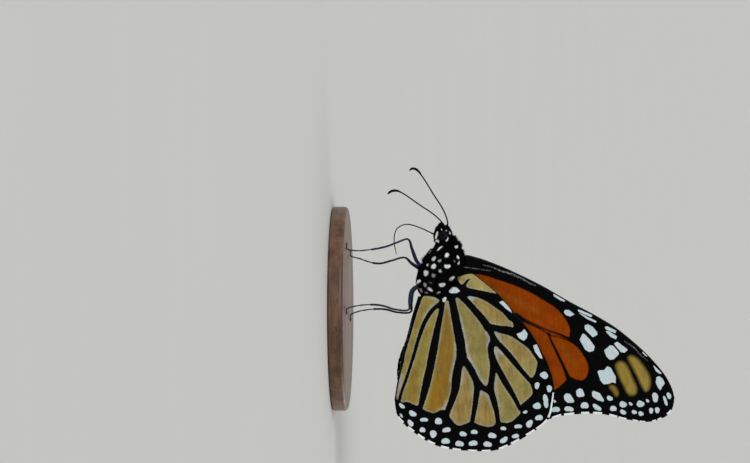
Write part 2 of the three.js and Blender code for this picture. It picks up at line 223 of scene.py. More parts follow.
HINDWING_PATCHES = [
    [
        (-6.1, 24.5), (-6.9, 25), (-7.4, 26.2), (-7.3, 27.6), (-6.2, 29.3), (-4.8, 30.9), (-3.1, 32.4),
        (-3.3, 30.4), (-3.6, 28.9), (-4, 26.8), (-4.2, 26), (-5, 25.1),
    ],
]
# White spots: x, z, length, width, and the turn of the length from upright towards the tail.
HINDWING_SPOTS = [
    (19, 13.7, 1.57, 0.78, 45), (20.5, 15.8, 1.76, 1.08, 38), (21.7, 18, 1.57, 0.88, 0),
    (22, 20.8, 1.37, 1.47, 0), (23.7, 22.4, 1.67, 1.08, -15), (24.5, 25.6, 1.47, 1.08, 20),
    (24.1, 27.8, 1.37, 0.98, 0), (24.8, 31.3, 1.67, 1.18, 15), (23.4, 33.5, 1.18, 0.88, 0),
    (23, 36.4, 1.57, 0.88, -5), (20.2, 37.8, 1.08, 0.69, -30), (19, 40.1, 1.57, 1.37, -25),
    (15, 40.1, 1.47, 1.04, 90), (13, 41.5, 1.47, 1.57, -40), (20.9, 13.6, 1.18, 0.49, 60),
    (22.4, 15.4, 1.76, 0.98, 55), (23.7, 17.7, 1.18, 1.18, 0), (24.5, 19.8, 1.67, 1.31, 70),
    (25.9, 22.2, 1.67, 1.27, 0), (26.4, 24.9, 1.72, 1.22, 15), (26.3, 27.6, 1.76, 1.18, -10),
    (26.5, 30.4, 1.71, 1.18, 15), (25.7, 33.6, 1.86, 1.08, -42), (24.9, 35.9, 1.47, 0.98, -15),
    (22.5, 38.6, 1.86, 1.18, -60), (21.3, 40.5, 1.57, 1.18, -15), (18, 41.8, 2.74, 1.06, 80),
    (15.6, 42.5, 1.57, 1.1, 75), (-1.8, 22, 1.3, 0.8, -60),
]
# Larger white spots with corners, each as an outline.
HINDWING_BLOTS = [
    [(-1.3, 32.6), (-1.6, 33.4), (-0.4, 34.7), (0.9, 35.3), (0, 34)],
    [(4.9, 36.1), (4.5, 37.1), (3.9, 37.6), (4.9, 38.3), (5.7, 38.1), (6.3, 37.5), (5.7, 36.5)],
    [(7.2, 39.3), (6.9, 40), (7.9, 40.5), (9.9, 41.3), (9.6, 40.6), (8.4, 39.7)],
    [(-3.5, 22.8), (-4.3, 23.6), (-4.2, 24.4), (-3.5, 25.1), (-3.1, 24.5), (-3, 23.8), (-3.1, 23.1)],
]
# White dashes of the fringe.
HINDWING_DASHES = [
    (21.8, 13.4, 1.57, 52), (23.7, 15.3, 1.57, 45), (25, 17.4, 1.57, 30), (26.1, 19.4, 1.57, 32),
    (27.2, 22, 1.57, 5), (27.6, 24.3, 1.57, 12), (27.5, 27.5, 1.67, -8), (27.6, 30.1, 1.57, 12),
    (27, 33.5, 1.76, -28), (26, 35.9, 1.76, -22), (24.2, 38.8, 1.96, -42), (22.9, 40.6, 1.76, -32),
    (22.2, 41.5, 1.57, -35), (18.7, 42.7, 5.29, 102),
]

FOREWING_VEINS = {
    "cell floor": [
        (-6.4, 25.3, 0.35), (-3.1, 29.9, 0.33), (-0.3, 33.4, 0.28), (2.7, 39, 0.26), (4.1, 42, 0.3),
        (5, 44.5, 0.4), (6, 46.6, 0.6), (7, 48.1, 0.85),
    ],
    "fold": [
        (1.1, 36, 0.6), (2.4, 37.6, 0.45), (3.9, 40.6, 0.24), (5, 42.4, 0.2), (5.7, 44.7, 0.18),
        (6.4, 46.8, 0.2),
    ],
    "first cubital": [
        (4.9, 42.3, 0.3), (5.7, 42.6, 0.4), (7.6, 43.5, 0.5), (12, 45.6, 0.65), (13.6, 46.2, 0.86),
    ],
    "second cubital": [(1.5, 36.5, 0.3), (5.4, 38.3, 0.38), (16.3, 41.6, 0.55)],
    "first anal": [(-3.7, 25.3, 0.4), (1.2, 28.9, 0.42), (9.1, 33.8, 0.45), (16.9, 38.7, 0.6)],
}
FOREWING_GROUND = [
    (-6.3, 26.6), (-6.7, 28.4), (-6.4, 30.1), (-5.6, 32.5), (-4.8, 34.9), (-3.9, 37.2), (-2.7, 39.6),
    (-1.3, 41.9), (-0.3, 43.5), (1.1, 44.9), (2.7, 46), (4.1, 46.5), (5.4, 46.4), (6.6, 46.9), (7.6, 48),
    (9.1, 49.1), (10.9, 50), (12.6, 50), (13.9, 49.1), (13.8, 47.8), (13.3, 46.5), (13.9, 45.8),
    (14.9, 44.8), (15.8, 43.6), (16.7, 41.6), (17.5, 38.7), (14.4, 35.7), (6.5, 30.8), (-1.7, 25.9),
    (-5.2, 24.6),
]
FOREWING_PATCHES = [
    [
        (11, 55.4), (10.3, 56), (10.3, 56.8), (10.8, 57.5), (12.1, 58.2), (13.8, 58.9), (15.3, 59.6),
        (16.5, 59.5), (17, 58.7), (16.6, 57.8), (15, 57), (13.2, 56.1),
    ],
    [
        (9.5, 57.8), (9.1, 58.4), (9.6, 59.6), (10.8, 60.7), (12.1, 61.6), (13.4, 62.2), (14.7, 62.3),
        (15.9, 61.9), (16.2, 61.3), (15.3, 60.6), (14, 60), (12.4, 59.2), (10.9, 58.4),
    ],
    [(15, 54.3), (15, 55.1), (15.8, 55.8), (16.8, 56), (17.2, 55.6), (16.3, 54.9), (15.5, 54.3)],
]
FOREWING_SPOTS = [
    (8.9, 61.2, 1.57, 0.39, 42), (17.3, 63.2, 2.06, 1.22, 75), (18, 65.2, 2.25, 0.65, 70),
    (17, 65.9, 1.57, 0.88, 65), (18, 61.7, 0.94, 0.63, 60), (18.6, 60.3, 1.57, 1.37, 35),
    (18.6, 58.4, 0.98, 0.63, 50), (18.7, 56.9, 1.57, 1.29, 40), (17.5, 54.3, 1.37, 0.98, 40),
    (19.5, 55, 1.33, 1.22, 0), (20.2, 56.9, 1.45, 0.94, 40), (20.2, 59.1, 1.1, 0.9, 30),
    (20.5, 60.4, 1.18, 0.98, 50), (19.9, 62.4, 1.33, 0.88, 80), (19.8, 63.6, 1.37, 0.98, 75),
    (19.7, 43.7, 1.76, 1.18, -5), (19.6, 46.3, 1.88, 1.1, 12), (18.9, 49.4, 1.53, 1.41, 0),
    (19.3, 51.8, 2.25, 0.98, 36), (18.1, 43.5, 0.86, 0.59, 60),
]
FOREWING_BLOTS = [
    [(-3.2, 43.2), (-2.9, 43.9), (-1.9, 45.4), (-1.3, 45.6), (-1.7, 44.5), (-2.5, 43.3)],
    [(0.2, 45.5), (0.2, 46.3), (1.1, 47.5), (1.5, 46.6), (1.3, 45.8), (0.7, 45.3)],
    [(0.1, 48), (0.3, 48.8), (1.25, 50.9), (1.65, 50.7), (0.6, 48.2)],
    [(0.8, 48.2), (0.95, 48.8), (2.45, 51.8), (2.75, 51.5), (1.95, 49.8)],
    [(3.2, 49.4), (3, 50.1), (3.5, 51), (4.6, 51.9), (5.1, 51.9), (5.6, 51), (4.8, 50.2), (4, 49.4)],
    [(4.8, 49), (5, 49.5), (6, 50.4), (7.4, 51.4), (8.2, 51.2), (8.5, 50.3), (8, 49.5), (6.1, 48.4)],
    [(3.5, 53.3), (3.4, 53.9), (4.3, 55.6), (4.8, 55.4), (4, 53.5)],
    [(4.3, 53.5), (4.35, 54.2), (5.4, 55.8), (6, 55.5), (5.5, 54.5), (4.7, 53.7)],
    [(6.8, 55.1), (6.4, 55.8), (8, 57.9), (8.6, 57.2), (8.5, 56.5), (7.7, 55.8)],
    [(8.1, 53.2), (7.1, 54.4), (7.2, 55), (8.5, 56.1), (8.9, 56.1), (9.9, 55.1), (10, 54.3), (9.3, 53.6)],
    [
        (12.3, 51.9), (12, 52.2), (12, 53.2), (11.2, 53.8), (11.5, 54.5), (13.3, 55.5), (14.6, 55.5),
        (14.4, 54.8), (14.7, 54.1), (14.8, 53.1), (14.1, 52.5),
    ],
    [(11, 62.7), (11.1, 63), (12.6, 64.5), (12.8, 64.3), (12.3, 63.4)],
    [
        (13.4, 63.4), (13.1, 64), (13.7, 64.7), (14.6, 65.1), (15.2, 64.6), (16, 64.2), (15.4, 63.7),
        (14.4, 63.3),
    ],
    [(17, 45.3), (16.5, 45.8), (16.7, 46.6), (18, 47.4), (18.4, 47.2), (18.4, 46), (17.8, 45.4)],
    [(16, 47.7), (15.5, 48.4), (15.8, 49), (16.9, 49.4), (17.2, 49.2), (17.3, 48.2), (17, 47.8)],
    [(16.3, 50.8), (16, 51.1), (16.5, 52.4), (17.8, 53.2), (18.2, 53.1), (17.9, 51.9), (17.2, 50.9)],
]
FOREWING_DASHES = [
    (20.9, 43.9, 1.76, -8), (20.6, 46.4, 1.86, -3), (20.4, 49.5, 1.47, -8), (20.5, 51.9, 1.67, 6),
    (20.8, 55, 1.47, 6), (21.3, 56.8, 1.47, 14), (21.8, 59.3, 0.98, 2), (21.9, 60.7, 0.98, 3),
    (21.7, 62.9, 0.86, -12), (21.4, 64, 0.86, -14), (20.3, 66, 1.18, -55),
]
# Painted highlights: pale lines on the black of the leading edge, where its raised veins catch the light,
# as x, z and width.
FOREWING_PAINTED_GLINTS = [
    [(-8.2, 25.1, 0.15), (-7.8, 28.5, 0.15), (-7.4, 31, 0.12)],
    [
        (-8.6, 29.5, 0.12), (-8, 31.7, 0.18), (-7.3, 33.2, 0.26), (-7, 34.5, 0.32), (-6.4, 36, 0.34),
        (-5.8, 37.3, 0.26), (-5, 38.6, 0.22), (-4.5, 39.9, 0.12),
    ],
    [(6.3, 57.1, 0.1), (7.7, 59.2, 0.22), (8.9, 60.2, 0.14), (10.2, 61.8, 0.1)],
]
# Veins that only stand up as ribs, in the black parts of the forewing.
FOREWING_RIBS = [
    [(-9, 25.5), (-8.2, 30.8), (-5.9, 36.7), (-3, 42.6), (-0.7, 47.3)],
    [
        (-8, 25.5), (-7.4, 30.2), (-6.1, 34.8), (-3.6, 40.6), (-0.9, 44.9), (2.4, 49.5), (6.3, 54.4),
        (9.5, 58.3),
    ],
    [(-2, 43.2), (0.5, 48.5), (3.1, 53.2)],
    [(0.5, 46.9), (3.6, 52.4), (5.7, 56.7)],
    [(4.5, 52), (7.1, 56.3), (10.1, 60.2), (13, 63.2), (16.1, 64.7)],
    [(3, 46.7), (6.3, 52), (8.9, 55.9), (13, 58.7), (17.3, 60.6), (21.4, 61.6)],
    [(4.4, 46.7), (7.5, 50.4), (10.4, 53.4), (14.2, 55.7), (17.9, 57.5), (21, 58.1)],
    [(6.7, 47.9), (9.5, 50.4), (13, 51.6), (16.3, 52.8), (20.2, 53.8)],
    [(13.6, 46.2), (15.9, 47.1), (18.5, 47.9), (20.2, 48.1)],
    [(16.3, 41.6), (18.4, 42.1), (20.8, 42.2)],
]

# White spots on the left of the body, as those of the wings are given, and how white each is.
BODY_SPOTS = [
    (-14.5, 20.5, 1.76, 0.43, -75, 1), (-13.1, 20.8, 0.8, 0.63, 70, 1), (-15.4, 21.5, 0.51, 0.31, 65, 0.9),
    (-15.2, 22.4, 0.45, 0.34, 0, 0.6), (-14.7, 23.05, 0.7, 0.46, 60, 1), (-13.5, 22.6, 1.02, 0.43, -65, 1),
    (-11.7, 21, 1.6, 0.52, -42, 1), (-12, 24.3, 0.74, 0.67, 0, 0.9), (-10.4, 22.5, 1.1, 0.82, -75, 1),
    (-9.7, 19.9, 1.18, 0.98, -50, 0.9), (-9.3, 21.1, 0.82, 0.63, -15, 0.6),
    (-10, 24.7, 0.94, 0.63, 65, 0.9), (-8.9, 24.8, 0.9, 0.52, -55, 0.85), (-9.2, 24, 0.55, 0.31, 50, 0.4),
    (-8.5, 18.7, 0.82, 0.59, 80, 0.9), (-8.2, 19.9, 1.25, 0.98, -65, 1), (-8.2, 22.6, 1.25, 0.94, 0, 0.95),
    (-7.3, 21.2, 0.82, 0.63, 75, 0.7), (-6.9, 18.4, 1.29, 1.14, 50, 1), (-6.4, 19.9, 0.94, 0.78, -40, 0.4),
    (-5.8, 23.4, 1.5, 0.66, -38, 0.85), (-5.2, 16.8, 1.25, 0.78, -25, 1), (-4.6, 18.25, 0.9, 0.78, 50, 0.6),
    (-5, 19.3, 0.78, 0.31, 25, 0.2), (-4.6, 21.55, 1.3, 1.08, 0, 0.88), (-3.6, 17.35, 1.35, 0.9, 40, 0.6),
    (-3.7, 19.2, 1.25, 0.74, 30, 0.95), (-3, 18.4, 0.78, 0.62, 0, 0.55), (-3, 20.8, 1, 0.85, -20, 0.6),
    (12.4, 13.1, 0.67, 0.39, 80, 0.5), (10.6, 13.3, 0.59, 0.35, 80, 0.5), (8.3, 14, 0.59, 0.31, 70, 0.3),
    (6.1, 14.8, 0.59, 0.39, 70, 0.3),
]

# Where a cell's colour changes, to browner streaks, pinker areas and pale scales beside the veins:
# how strong each change is, and its line as x, z and width.
HINDWING_TINTS = {
    "warm": [
        (
            1, (0.5, 22.4, 0.7), (5, 22.5, 2.2), (8, 22.4, 3), (12, 21.8, 3.2), (16, 21.2, 3.3),
            (19.4, 20.1, 2.8),
        ),
        (0.6, (12, 16.1, 0.8), (18.3, 15.8, 1.6)),
        (0.5, (0.5, 17.2, 1), (3.6, 16.1, 0.8)),
        (0.3, (15, 26, 0.4), (21.9, 25.1, 0.8)),
        (0.3, (19, 29.7, 0.4), (22.5, 30.2, 0.8)),
        (0.35, (-5.9, 25.5, 0.5), (-5.3, 26, 0.4)),
        (0.3, (-4.5, 27, 0.2), (-4.1, 28.4, 0.2)),
    ],
    "rose": [
        (0.9, (-1.3, 27.9, 1.8), (2.2, 33.8, 2.6)),
        (0.7, (5.9, 33.2, 1.8), (9.1, 37.7, 2.8)),
        (0.4, (10.6, 33.8, 1.2), (16.9, 36.7, 2)),
        (1, (14, 26.1, 1.4), (21.8, 25.3, 3.4)),
        (1, (17.9, 29.7, 1.8), (22.4, 29.9, 3.2)),
    ],
    "bloom": [
        (1, (-1.8, 26.8, 0.4), (-2.4, 27.3, 0.4), (-2.4, 28, 0.3)),
        (0.9, (4.9, 30.4, 0.3), (5.9, 30.8, 0.6), (6.9, 30.6, 0.4)),
        (0.9, (7.7, 31.8, 0.5), (8.5, 32.3, 0.7), (9, 32.8, 0.5)),
        (0.7, (4.5, 31.7, 0.4), (5.3, 32.1, 0.6), (6.3, 32.9, 0.3)),
        (
            0.7, (1.8, 24.9, 0.1), (4.8, 25.5, 0.2), (7.1, 26, 0.3), (9.5, 26.9, 0.4), (12, 27.9, 0.5),
            (13.6, 28.8, 0.6), (14.7, 29.8, 0.6),
        ),
        (0.6, (-1.7, 19.8, 0.5), (-0.5, 19.1, 0.5), (1.2, 17.8, 0.3)),
        (0.6, (13, 13.3, 0.3), (16.9, 12.9, 0.4)),
        (0.6, (7.1, 24.2, 0.2), (9.5, 24.1, 0.3), (12, 23.6, 0.3), (14.2, 23.3, 0.2)),
        (0.6, (18.5, 22.1, 0.5), (19.6, 21.4, 0.6)),
        (0.5, (11.2, 25.6, 0.5), (13, 25.5, 0.6), (14.4, 25.2, 0.2)),
        (0.4, (13, 26.9, 0.2), (16.9, 27.6, 0.2)),
        (0.5, (16.2, 29.2, 0.3), (17.3, 30.3, 0.3), (18.9, 31.1, 0.2)),
        (0.5, (12.6, 31.8, 0.3), (15.9, 31.9, 0.3), (18.9, 32.4, 0.2)),
    ],
}
FOREWING_TINTS = {
    "warm": [
        (0.45, (11.5, 56.7, 0.7), (15, 58, 0.7)),
        (0.3, (11.5, 59.8, 0.5), (14, 61, 0.5)),
        (0.9, (15.8, 54.9, 0.7), (17, 55.5, 0.7)),
        (0.25, (-3.6, 31.5, 0.6), (-1.5, 36, 0.8), (0.5, 40, 0.6)),
        (0.2, (7.5, 45, 0.6), (11, 47.5, 0.8)),
        (0.2, (9, 38, 0.6), (13, 41, 0.6)),
    ],
    "rose": [],
    "bloom": [],
}


# ---- Settings that a user would change -------------------

def size(label, text, value_mm):
    """A length property whose default is given in millimetres."""
    return FloatProperty(
        name=label, description=text, default=value_mm * MM, min=0.0, precision=6, unit="LENGTH"
    )


def colour(label, text, value):
    """A colour property."""
    return FloatVectorProperty(
        name=label, description=text, default=value, size=3, min=0.0, max=1.0, subtype="COLOR"
    )


def amount(label, text, value):
    """A plain number property."""
    return FloatProperty(name=label, description=text, default=value, min=0.0)


class WingSettings(bpy.types.PropertyGroup):
    thickness: size("Thickness", "Thickness of the membrane with its scales", 0.16)
    spacing: size("Spacing", "Distance between the points of the membrane", 0.2)
    inset: size("Inset", "How far the membrane stops short of the fringe's tips", 0.3)
    rib_radius: size("Rib radius", "Radius of a vein at its thickest", 0.13)
    relief: size("Relief", "Height of the membrane over a vein", 0.05)
    fringe_length: size("Fringe length", "Length of the longest fringe scales", 0.38)
    fringe_spacing: size("Fringe spacing", "Distance between fringe scales", 0.06)
    tan: colour("Tan", "Ground of the hindwing's underside", (0.278, 0.230, 0.075))
    rose: colour("Rosy tan", "Pinker cells of the hindwing", (0.330, 0.238, 0.086))
    golden: colour("Golden", "Cells beside the abdomen", (0.288, 0.224, 0.054))
    warm: colour("Warm tan", "Brown streaks on those cells", (0.250, 0.132, 0.015))
    orange: colour("Orange", "Ground of the forewing's underside", (0.250, 0.042, 0.0006))
    bright_orange: colour("Bright orange", "Ground of the upper sides", (0.440, 0.120, 0.007))
    ochre: colour("Ochre", "Patches at the forewing's tip", (0.300, 0.218, 0.046))
    yellow: colour("Yellow", "Patch at the hindwing's shoulder", (0.350, 0.285, 0.105))
    black: colour("Black", "Veins and borders", (0.0013, 0.0014, 0.0015))
    white: colour("White", "Spots of the wings", (0.520, 0.670, 0.700))
    lilac: colour("Lilac white", "Warmer parts of those spots", (0.600, 0.655, 0.700))
    bloom: colour("Bloom", "Pale scales beside the veins", (0.390, 0.430, 0.420))
    # Colour of the painted highlights along the leading edge's veins.
    glint: colour("Glint", "Shining lines of the leading edge", (0.25, 0.25, 0.26))
    fringe_white: colour("Fringe white", "Dashes of the fringe", (0.90, 0.94, 0.95))


class BodySettings(bpy.types.PropertyGroup):
    coat_depth: size("Coat depth", "Depth of the hair on the head and thorax", 0.3)
    abdomen_coat_depth: size("Abdomen coat depth", "Depth of the abdomen's scales", 0.12)
    voxel: size("Voxel", "Fineness of the skin", 0.11)
    density: amount("Density", "Tufts on each square millimetre", 70.0)
    seed: IntProperty(name="Seed", description="Seed of the coat's placing", default=7)
    black: colour("Black", "Skin, scales and hair", (0.0016, 0.0016, 0.0018))
    white: colour("White", "Spots of the body", (0.93, 0.96, 0.97))


class LimbSettings(bpy.types.PropertyGroup):
    femur_radius: size("Femur radius", "Thickest part of a leg", 0.36)
    tibia_radius: size("Tibia radius", "Radius of a shin", 0.19)
    tarsus_radius: size("Tarsus radius", "Radius of a foot's joints", 0.135)
    foreleg_radius: size("Foreleg radius", "Radius of the small folded forelegs", 0.17)
    antenna_radius: size("Antenna radius", "Radius of an antenna's shaft", 0.14)
    club_radius: size("Club radius", "Radius of an antenna's club", 0.27)
    proboscis_radius: size("Proboscis radius", "Radius of the tongue", 0.125)
    spine_length: size("Spine length", "Length of the spines on the legs", 0.32)


class StageSettings(bpy.types.PropertyGroup):
    frame_width: size("Frame width", "Width of what the camera sees at the butterfly", 147.0)
    distance: size("Distance", "From the camera to the butterfly", 1600.0)
    elevation: FloatProperty(
        name="Elevation",
        description="Height of the camera as an angle",
        default=math.radians(3.0),
        subtype="ANGLE",
    )
    floor: colour("Floor", "Colour of the floor", (0.58, 0.58, 0.565))
    ambient: amount("Ambient", "Brightness of the room", 0.5)
    key_strength: amount("Key strength", "Strength of the main light", 1.5)


# ---- Curves, outlines and distances ----------------------

def curve_through(points, steps, closed=False):
    """Points along a centripetal Catmull-Rom curve, with equal numbers of steps in its spans."""
    p = np.array(points, float)
    if closed:
        p = np.vstack([p[-1], p, p[0], p[1]])
    else:
        p = np.vstack([2 * p[0] - p[1], p, 2 * p[-1] - p[-2]])
    t = np.arange(steps)[:, None] / steps
    spans = []
    for a, b, c, d in zip(p, p[1:], p[2:], p[3:]):
        before, here, after = (
            max(np.linalg.norm(v - u), 1e-6) ** 0.5 for u, v in ((a, b), (b, c), (c, d))
        )
        leaving = ((b - a) / before - (c - a) / (before + here) + (c - b) / here) * here
        arriving = ((c - b) / here - (d - b) / (here + after) + (d - c) / after) * here
        spans.append(
            (2 * t**3 - 3 * t**2 + 1) * b
            + (t**3 - 2 * t**2 + t) * leaving
            + (3 * t**2 - 2 * t**3) * c
            + (t**3 - t**2) * arriving
        )
    if not closed:
        spans.append(p[-2][None])
    return np.vstack(spans)


def evenly(points, spacing, closed=False):
    """The same line with its points about one spacing apart."""
    line = np.vstack([points, points[:1]]) if closed else points
    lengths = np.r_[0, np.cumsum(np.linalg.norm(np.diff(line, axis=0), axis=1))]
    count = max(2, int(round(lengths[-1] / spacing)))
    places = np.linspace(0, lengths[-1], count + 1)
    if closed:
        places = places[:-1]
    return np.column_stack([np.interp(places, lengths, values) for values in line.T])


def unit(vectors):
    """Vectors brought to a length of one."""
    return vectors / np.maximum(np.linalg.norm(vectors, axis=-1, keepdims=True), 1e-6)


def nearest_on(line, points):
    """The number of the line's point that lies nearest to each point."""
    return np.array([np.argmin(((line - p) ** 2).sum(1)) for p in points])


def distance_to_line(points, line, widths=None):
    """Distance from points to a line, less half the line's width there."""
    best = np.full(len(points), FAR)
    for i in range(len(line) - 1):
        a, b = line[i], line[i + 1]
        along = b - a
        t = np.clip(((points - a) @ along) / max(along @ along, 1e-12), 0, 1)
        away = np.linalg.norm(points - a - t[:, None] * along, axis=1)
        if widths is not None:
            away = away - 0.5 * (widths[i] + (widths[i + 1] - widths[i]) * t)
        best = np.minimum(best, away)
    return best


def depth_inside(points, outline):
    """Distance from points to a closed outline, above 0 inside it."""
    ring = np.vstack([outline, outline[:1]])
    inside = np.zeros(len(points), bool)
    for (ax, az), (bx, bz) in zip(ring, ring[1:]):
        if az != bz:
            crosses = (az > points[:, 1]) != (bz > points[:, 1])
            at = ax + (points[:, 1] - az) * (bx - ax) / (bz - az)
            inside ^= crosses & (points[:, 0] < at)
    return np.where(inside, 1, -1) * distance_to_line(points, ring)


def smooth_step(value, low, high):
    """0 below low and 1 above high, with a smooth change between them."""
    part = np.clip((value - low) / (high - low), 0, 1)
    return part * part * (3 - 2 * part)


def smooth_least(a, b, blend):
    """The lesser of two distances, with the corner between them rounded off."""
    near = np.maximum(blend - np.abs(a - b), 0) / blend
    return np.minimum(a, b) - near * near * blend / 4


def spot_distance(u, v, length, width, turn):
    """Distance from the edge of an uneven spot, below 0 inside. u runs along the spot.

    Large spots are squarer. The turn also chooses how the edge wanders.
    """
    # A small shift keeps the very middle of a spot inside it.
    u = u + 1e-5
    angle = np.arctan2(v, u)
    wander = 1 + 0.07 * np.sin(2 * angle + turn * 3 + length) + 0.06 * np.sin(3 * angle + turn * 5)
    power = 2.2 + 1.6 * min(max((width - 1.2) / 1.2, 0), 1)
    reach = (np.abs(2 * u / length) ** power + np.abs(2 * v / width) ** power) ** (1 / power)
    return np.hypot(u, v) * (1 - wander / np.maximum(reach, 1e-6))


def spots_distance(points, spots, blots=()):
    """Distance from the nearest of several spots on a flat wing, below 0 inside."""
    best = np.full(len(points), FAR)
    for blot in blots:
        best = np.minimum(best, -depth_inside(points, np.array(blot, float)))
    for x, z, length, width, turn in spots:
        turn = math.radians(turn)
        dx, dz = points[:, 0] - x, points[:, 1] - z
        u = dx * math.sin(turn) + dz * math.cos(turn)
        v = dx * math.cos(turn) - dz * math.sin(turn)
        best = np.minimum(best, spot_distance(u, v, length, width, turn))
    return best


# ---- Meshes ----------------------------------------------

def placed(name, data):
    """A new object in the scene."""
    made = bpy.data.objects.new(name, data)
    bpy.context.scene.collection.objects.link(made)
    return made


def make_object(name, points, faces, edges=(), smooth=True):
    """A new object from points in millimetres."""
    mesh = bpy.data.meshes.new(name)
    mesh.from_pydata((np.asarray(points) * MM).tolist(), list(edges), faces)
    mesh.validate()
    if smooth and faces:
        mesh.shade_smooth()
    return placed(name, mesh)


def mesh_points(made):
    """An object's vertices in millimetres."""
    values = np.empty(len(made.data.vertices) * 3)
    made.data.vertices.foreach_get("co", values)
    return values.reshape(-1, 3) / MM


def move_points(made, points):
    """Puts an object's vertices at new places, in millimetres."""
    made.data.vertices.foreach_set("co", (np.asarray(points) * MM).ravel())
    made.data.update()


def vertex_normals(made):
    """The outward direction at each vertex."""
    values = np.empty(len(made.data.vertices) * 3)
    made.data.vertex_normals.foreach_get("vector", values)
    return values.reshape(-1, 3)


def store(made, fields):
    """Writes named fields with a number or a vector for each vertex, or one number for all."""
    for name, values in fields.items():
        values = np.asarray(values, float)
        if values.ndim == 0:
            values = np.full(len(made.data.vertices), values)
        kind, key = ("FLOAT_VECTOR", "vector") if values.ndim == 2 else ("FLOAT", "value")
        attribute = made.data.attributes.new(name, kind, "POINT")
        attribute.data.foreach_set(key, values.ravel())


def select_only(*chosen):
    """Selects these objects and no others, and makes the first one active."""
    for other in bpy.context.selected_objects:
        other.select_set(False)
    for made in chosen:
        made.select_set(True)
    bpy.context.view_layer.objects.active = chosen[0]


def unwrap(made):
    """Unwraps a mesh by its own shape into the map called OFBake."""
    made.data.uv_layers.active = made.data.uv_layers.new(name="OFBake")
    select_only(made)
    bpy.ops.object.mode_set(mode="EDIT")
    bpy.ops.mesh.select_all(action="SELECT")
    bpy.ops.uv.smart_project(angle_limit=math.radians(66), island_margin=0.004)
    bpy.ops.object.mode_set(mode="OBJECT")
    made.select_set(False)


def joined(first, second):
    """Two finished objects as one."""
    select_only(first, second)
    bpy.ops.object.join()
    first.select_set(False)
    return first


def copy_of(made):
    """A working copy of an object and its mesh."""
    copied = made.copy()
    copied.data = made.data.copy()
    bpy.context.scene.collection.objects.link(copied)
    return copied


def applied(made, name, materials=()):
    """A plain mesh object of what the modifiers of an object make. The object itself goes."""
    graph = bpy.context.evaluated_depsgraph_get()
    mesh = bpy.data.meshes.new_from_object(
        made.evaluated_get(graph), preserve_all_data_layers=True, depsgraph=graph
    )
    mesh.name = name
    finished = placed(name, mesh)
    bpy.data.objects.remove(made)
    finished.name = name
    for material in materials:
        mesh.materials.append(material)
    return finished


def ride(made, slot, *nodes):
    """Hands a finished piece to the frame."""
    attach(made, "root")
    if nodes:
        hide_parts(*nodes)
    return made


def face_outwards(made):
    """Turns every shell of a mesh the right way out."""
    work = bmesh.new()
    work.from_mesh(made.data)
    bmesh.ops.recalc_face_normals(work, faces=work.faces)
    work.to_mesh(made.data)
    work.free()


def join_shells(shells):
    """Several closed surfaces as one list of points and faces."""
    points, faces = [], []
    for shell_points, shell_faces in shells:
        start = sum(len(p) for p in points)
        points.append(np.asarray(shell_points, float))
        faces += [tuple(start + i for i in face) for face in shell_faces]
    return np.vstack(points), faces


def skin_rings(rings):
    """A closed surface through rings of equal numbers of points, with a fan over each end."""
    sides = len(rings[0])
    points = np.vstack([*rings, rings[0].mean(0), rings[-1].mean(0)])
    first, last = len(points) - 2, len(points) - 1
    faces = []
    for i in range(len(rings) - 1):
        for j in range(sides):
            a, b = i * sides + j, i * sides + (j + 1) % sides
            faces.append((a, b, b + sides, a + sides))
    end = (len(rings) - 1) * sides
    for j in range(sides):
        after = (j + 1) % sides
        faces.append((first, after, j))
        faces.append((last, end + j, end + after))
    return points, faces


def circle(sides):
    """Cosine and sine at equal steps round a circle."""
    turn = np.linspace(0, 2 * math.pi, sides, endpoint=False)
    return np.cos(turn), np.sin(turn)


def ellipsoid(centre, radii, rings=14, sides=24):
    """A closed ellipsoid."""
    cosine, sine = circle(sides)
    layers = []
    for i in range(1, rings):
        angle = math.pi * i / rings
        across = math.sin(angle)
        ball = np.column_stack([np.full(sides, math.cos(angle)), across * cosine, across * sine])
        layers.append(np.array(centre) + ball * radii)
    return skin_rings(layers)


LEAST_HALF = 0.08


def body_length(sections, shrink, steps=6, sides=40):
    """A length of body through upright oval sections, drawn in by the depth of its coat."""
    cosine, sine = circle(sides)
    rings = []
    for x, low, high, width in curve_through(sections, steps):
        half = max((high - low) / 2 - shrink, LEAST_HALF)
        out = max(width - shrink, LEAST_HALF)
        middle = (low + high) / 2
        rings.append(np.column_stack([np.full(sides, x), out * sine, middle + half * cosine]))
    rings[0][:, 0] += shrink
    rings[-1][:, 0] -= shrink
    return skin_rings(rings)


def limb_path(points, side, steps):
    """A limb's middle line, as x, y and z."""
    line = curve_through(points, steps)
    line[:, 1] *= side
    return line


def round_limb(line, radii, sides=14):
    """A closed tube whose radius changes along its line."""
    cosine, sine = circle(sides)
    across = np.array([0.0, 1.0, 0.0])
    rings = []
    for centre, heading, radius in zip(line, unit(np.gradient(line, axis=0)), radii):
        across = unit(across - heading * (across @ heading))
        up = np.cross(heading, across)
        rings.append(centre + radius * (np.outer(cosine, across) + np.outer(sine, up)))
    return skin_rings(rings)


# ---- Node trees ------------------------------------------

def opaque(value):
    """A colour with its alpha."""
    return (*value, 1.0)


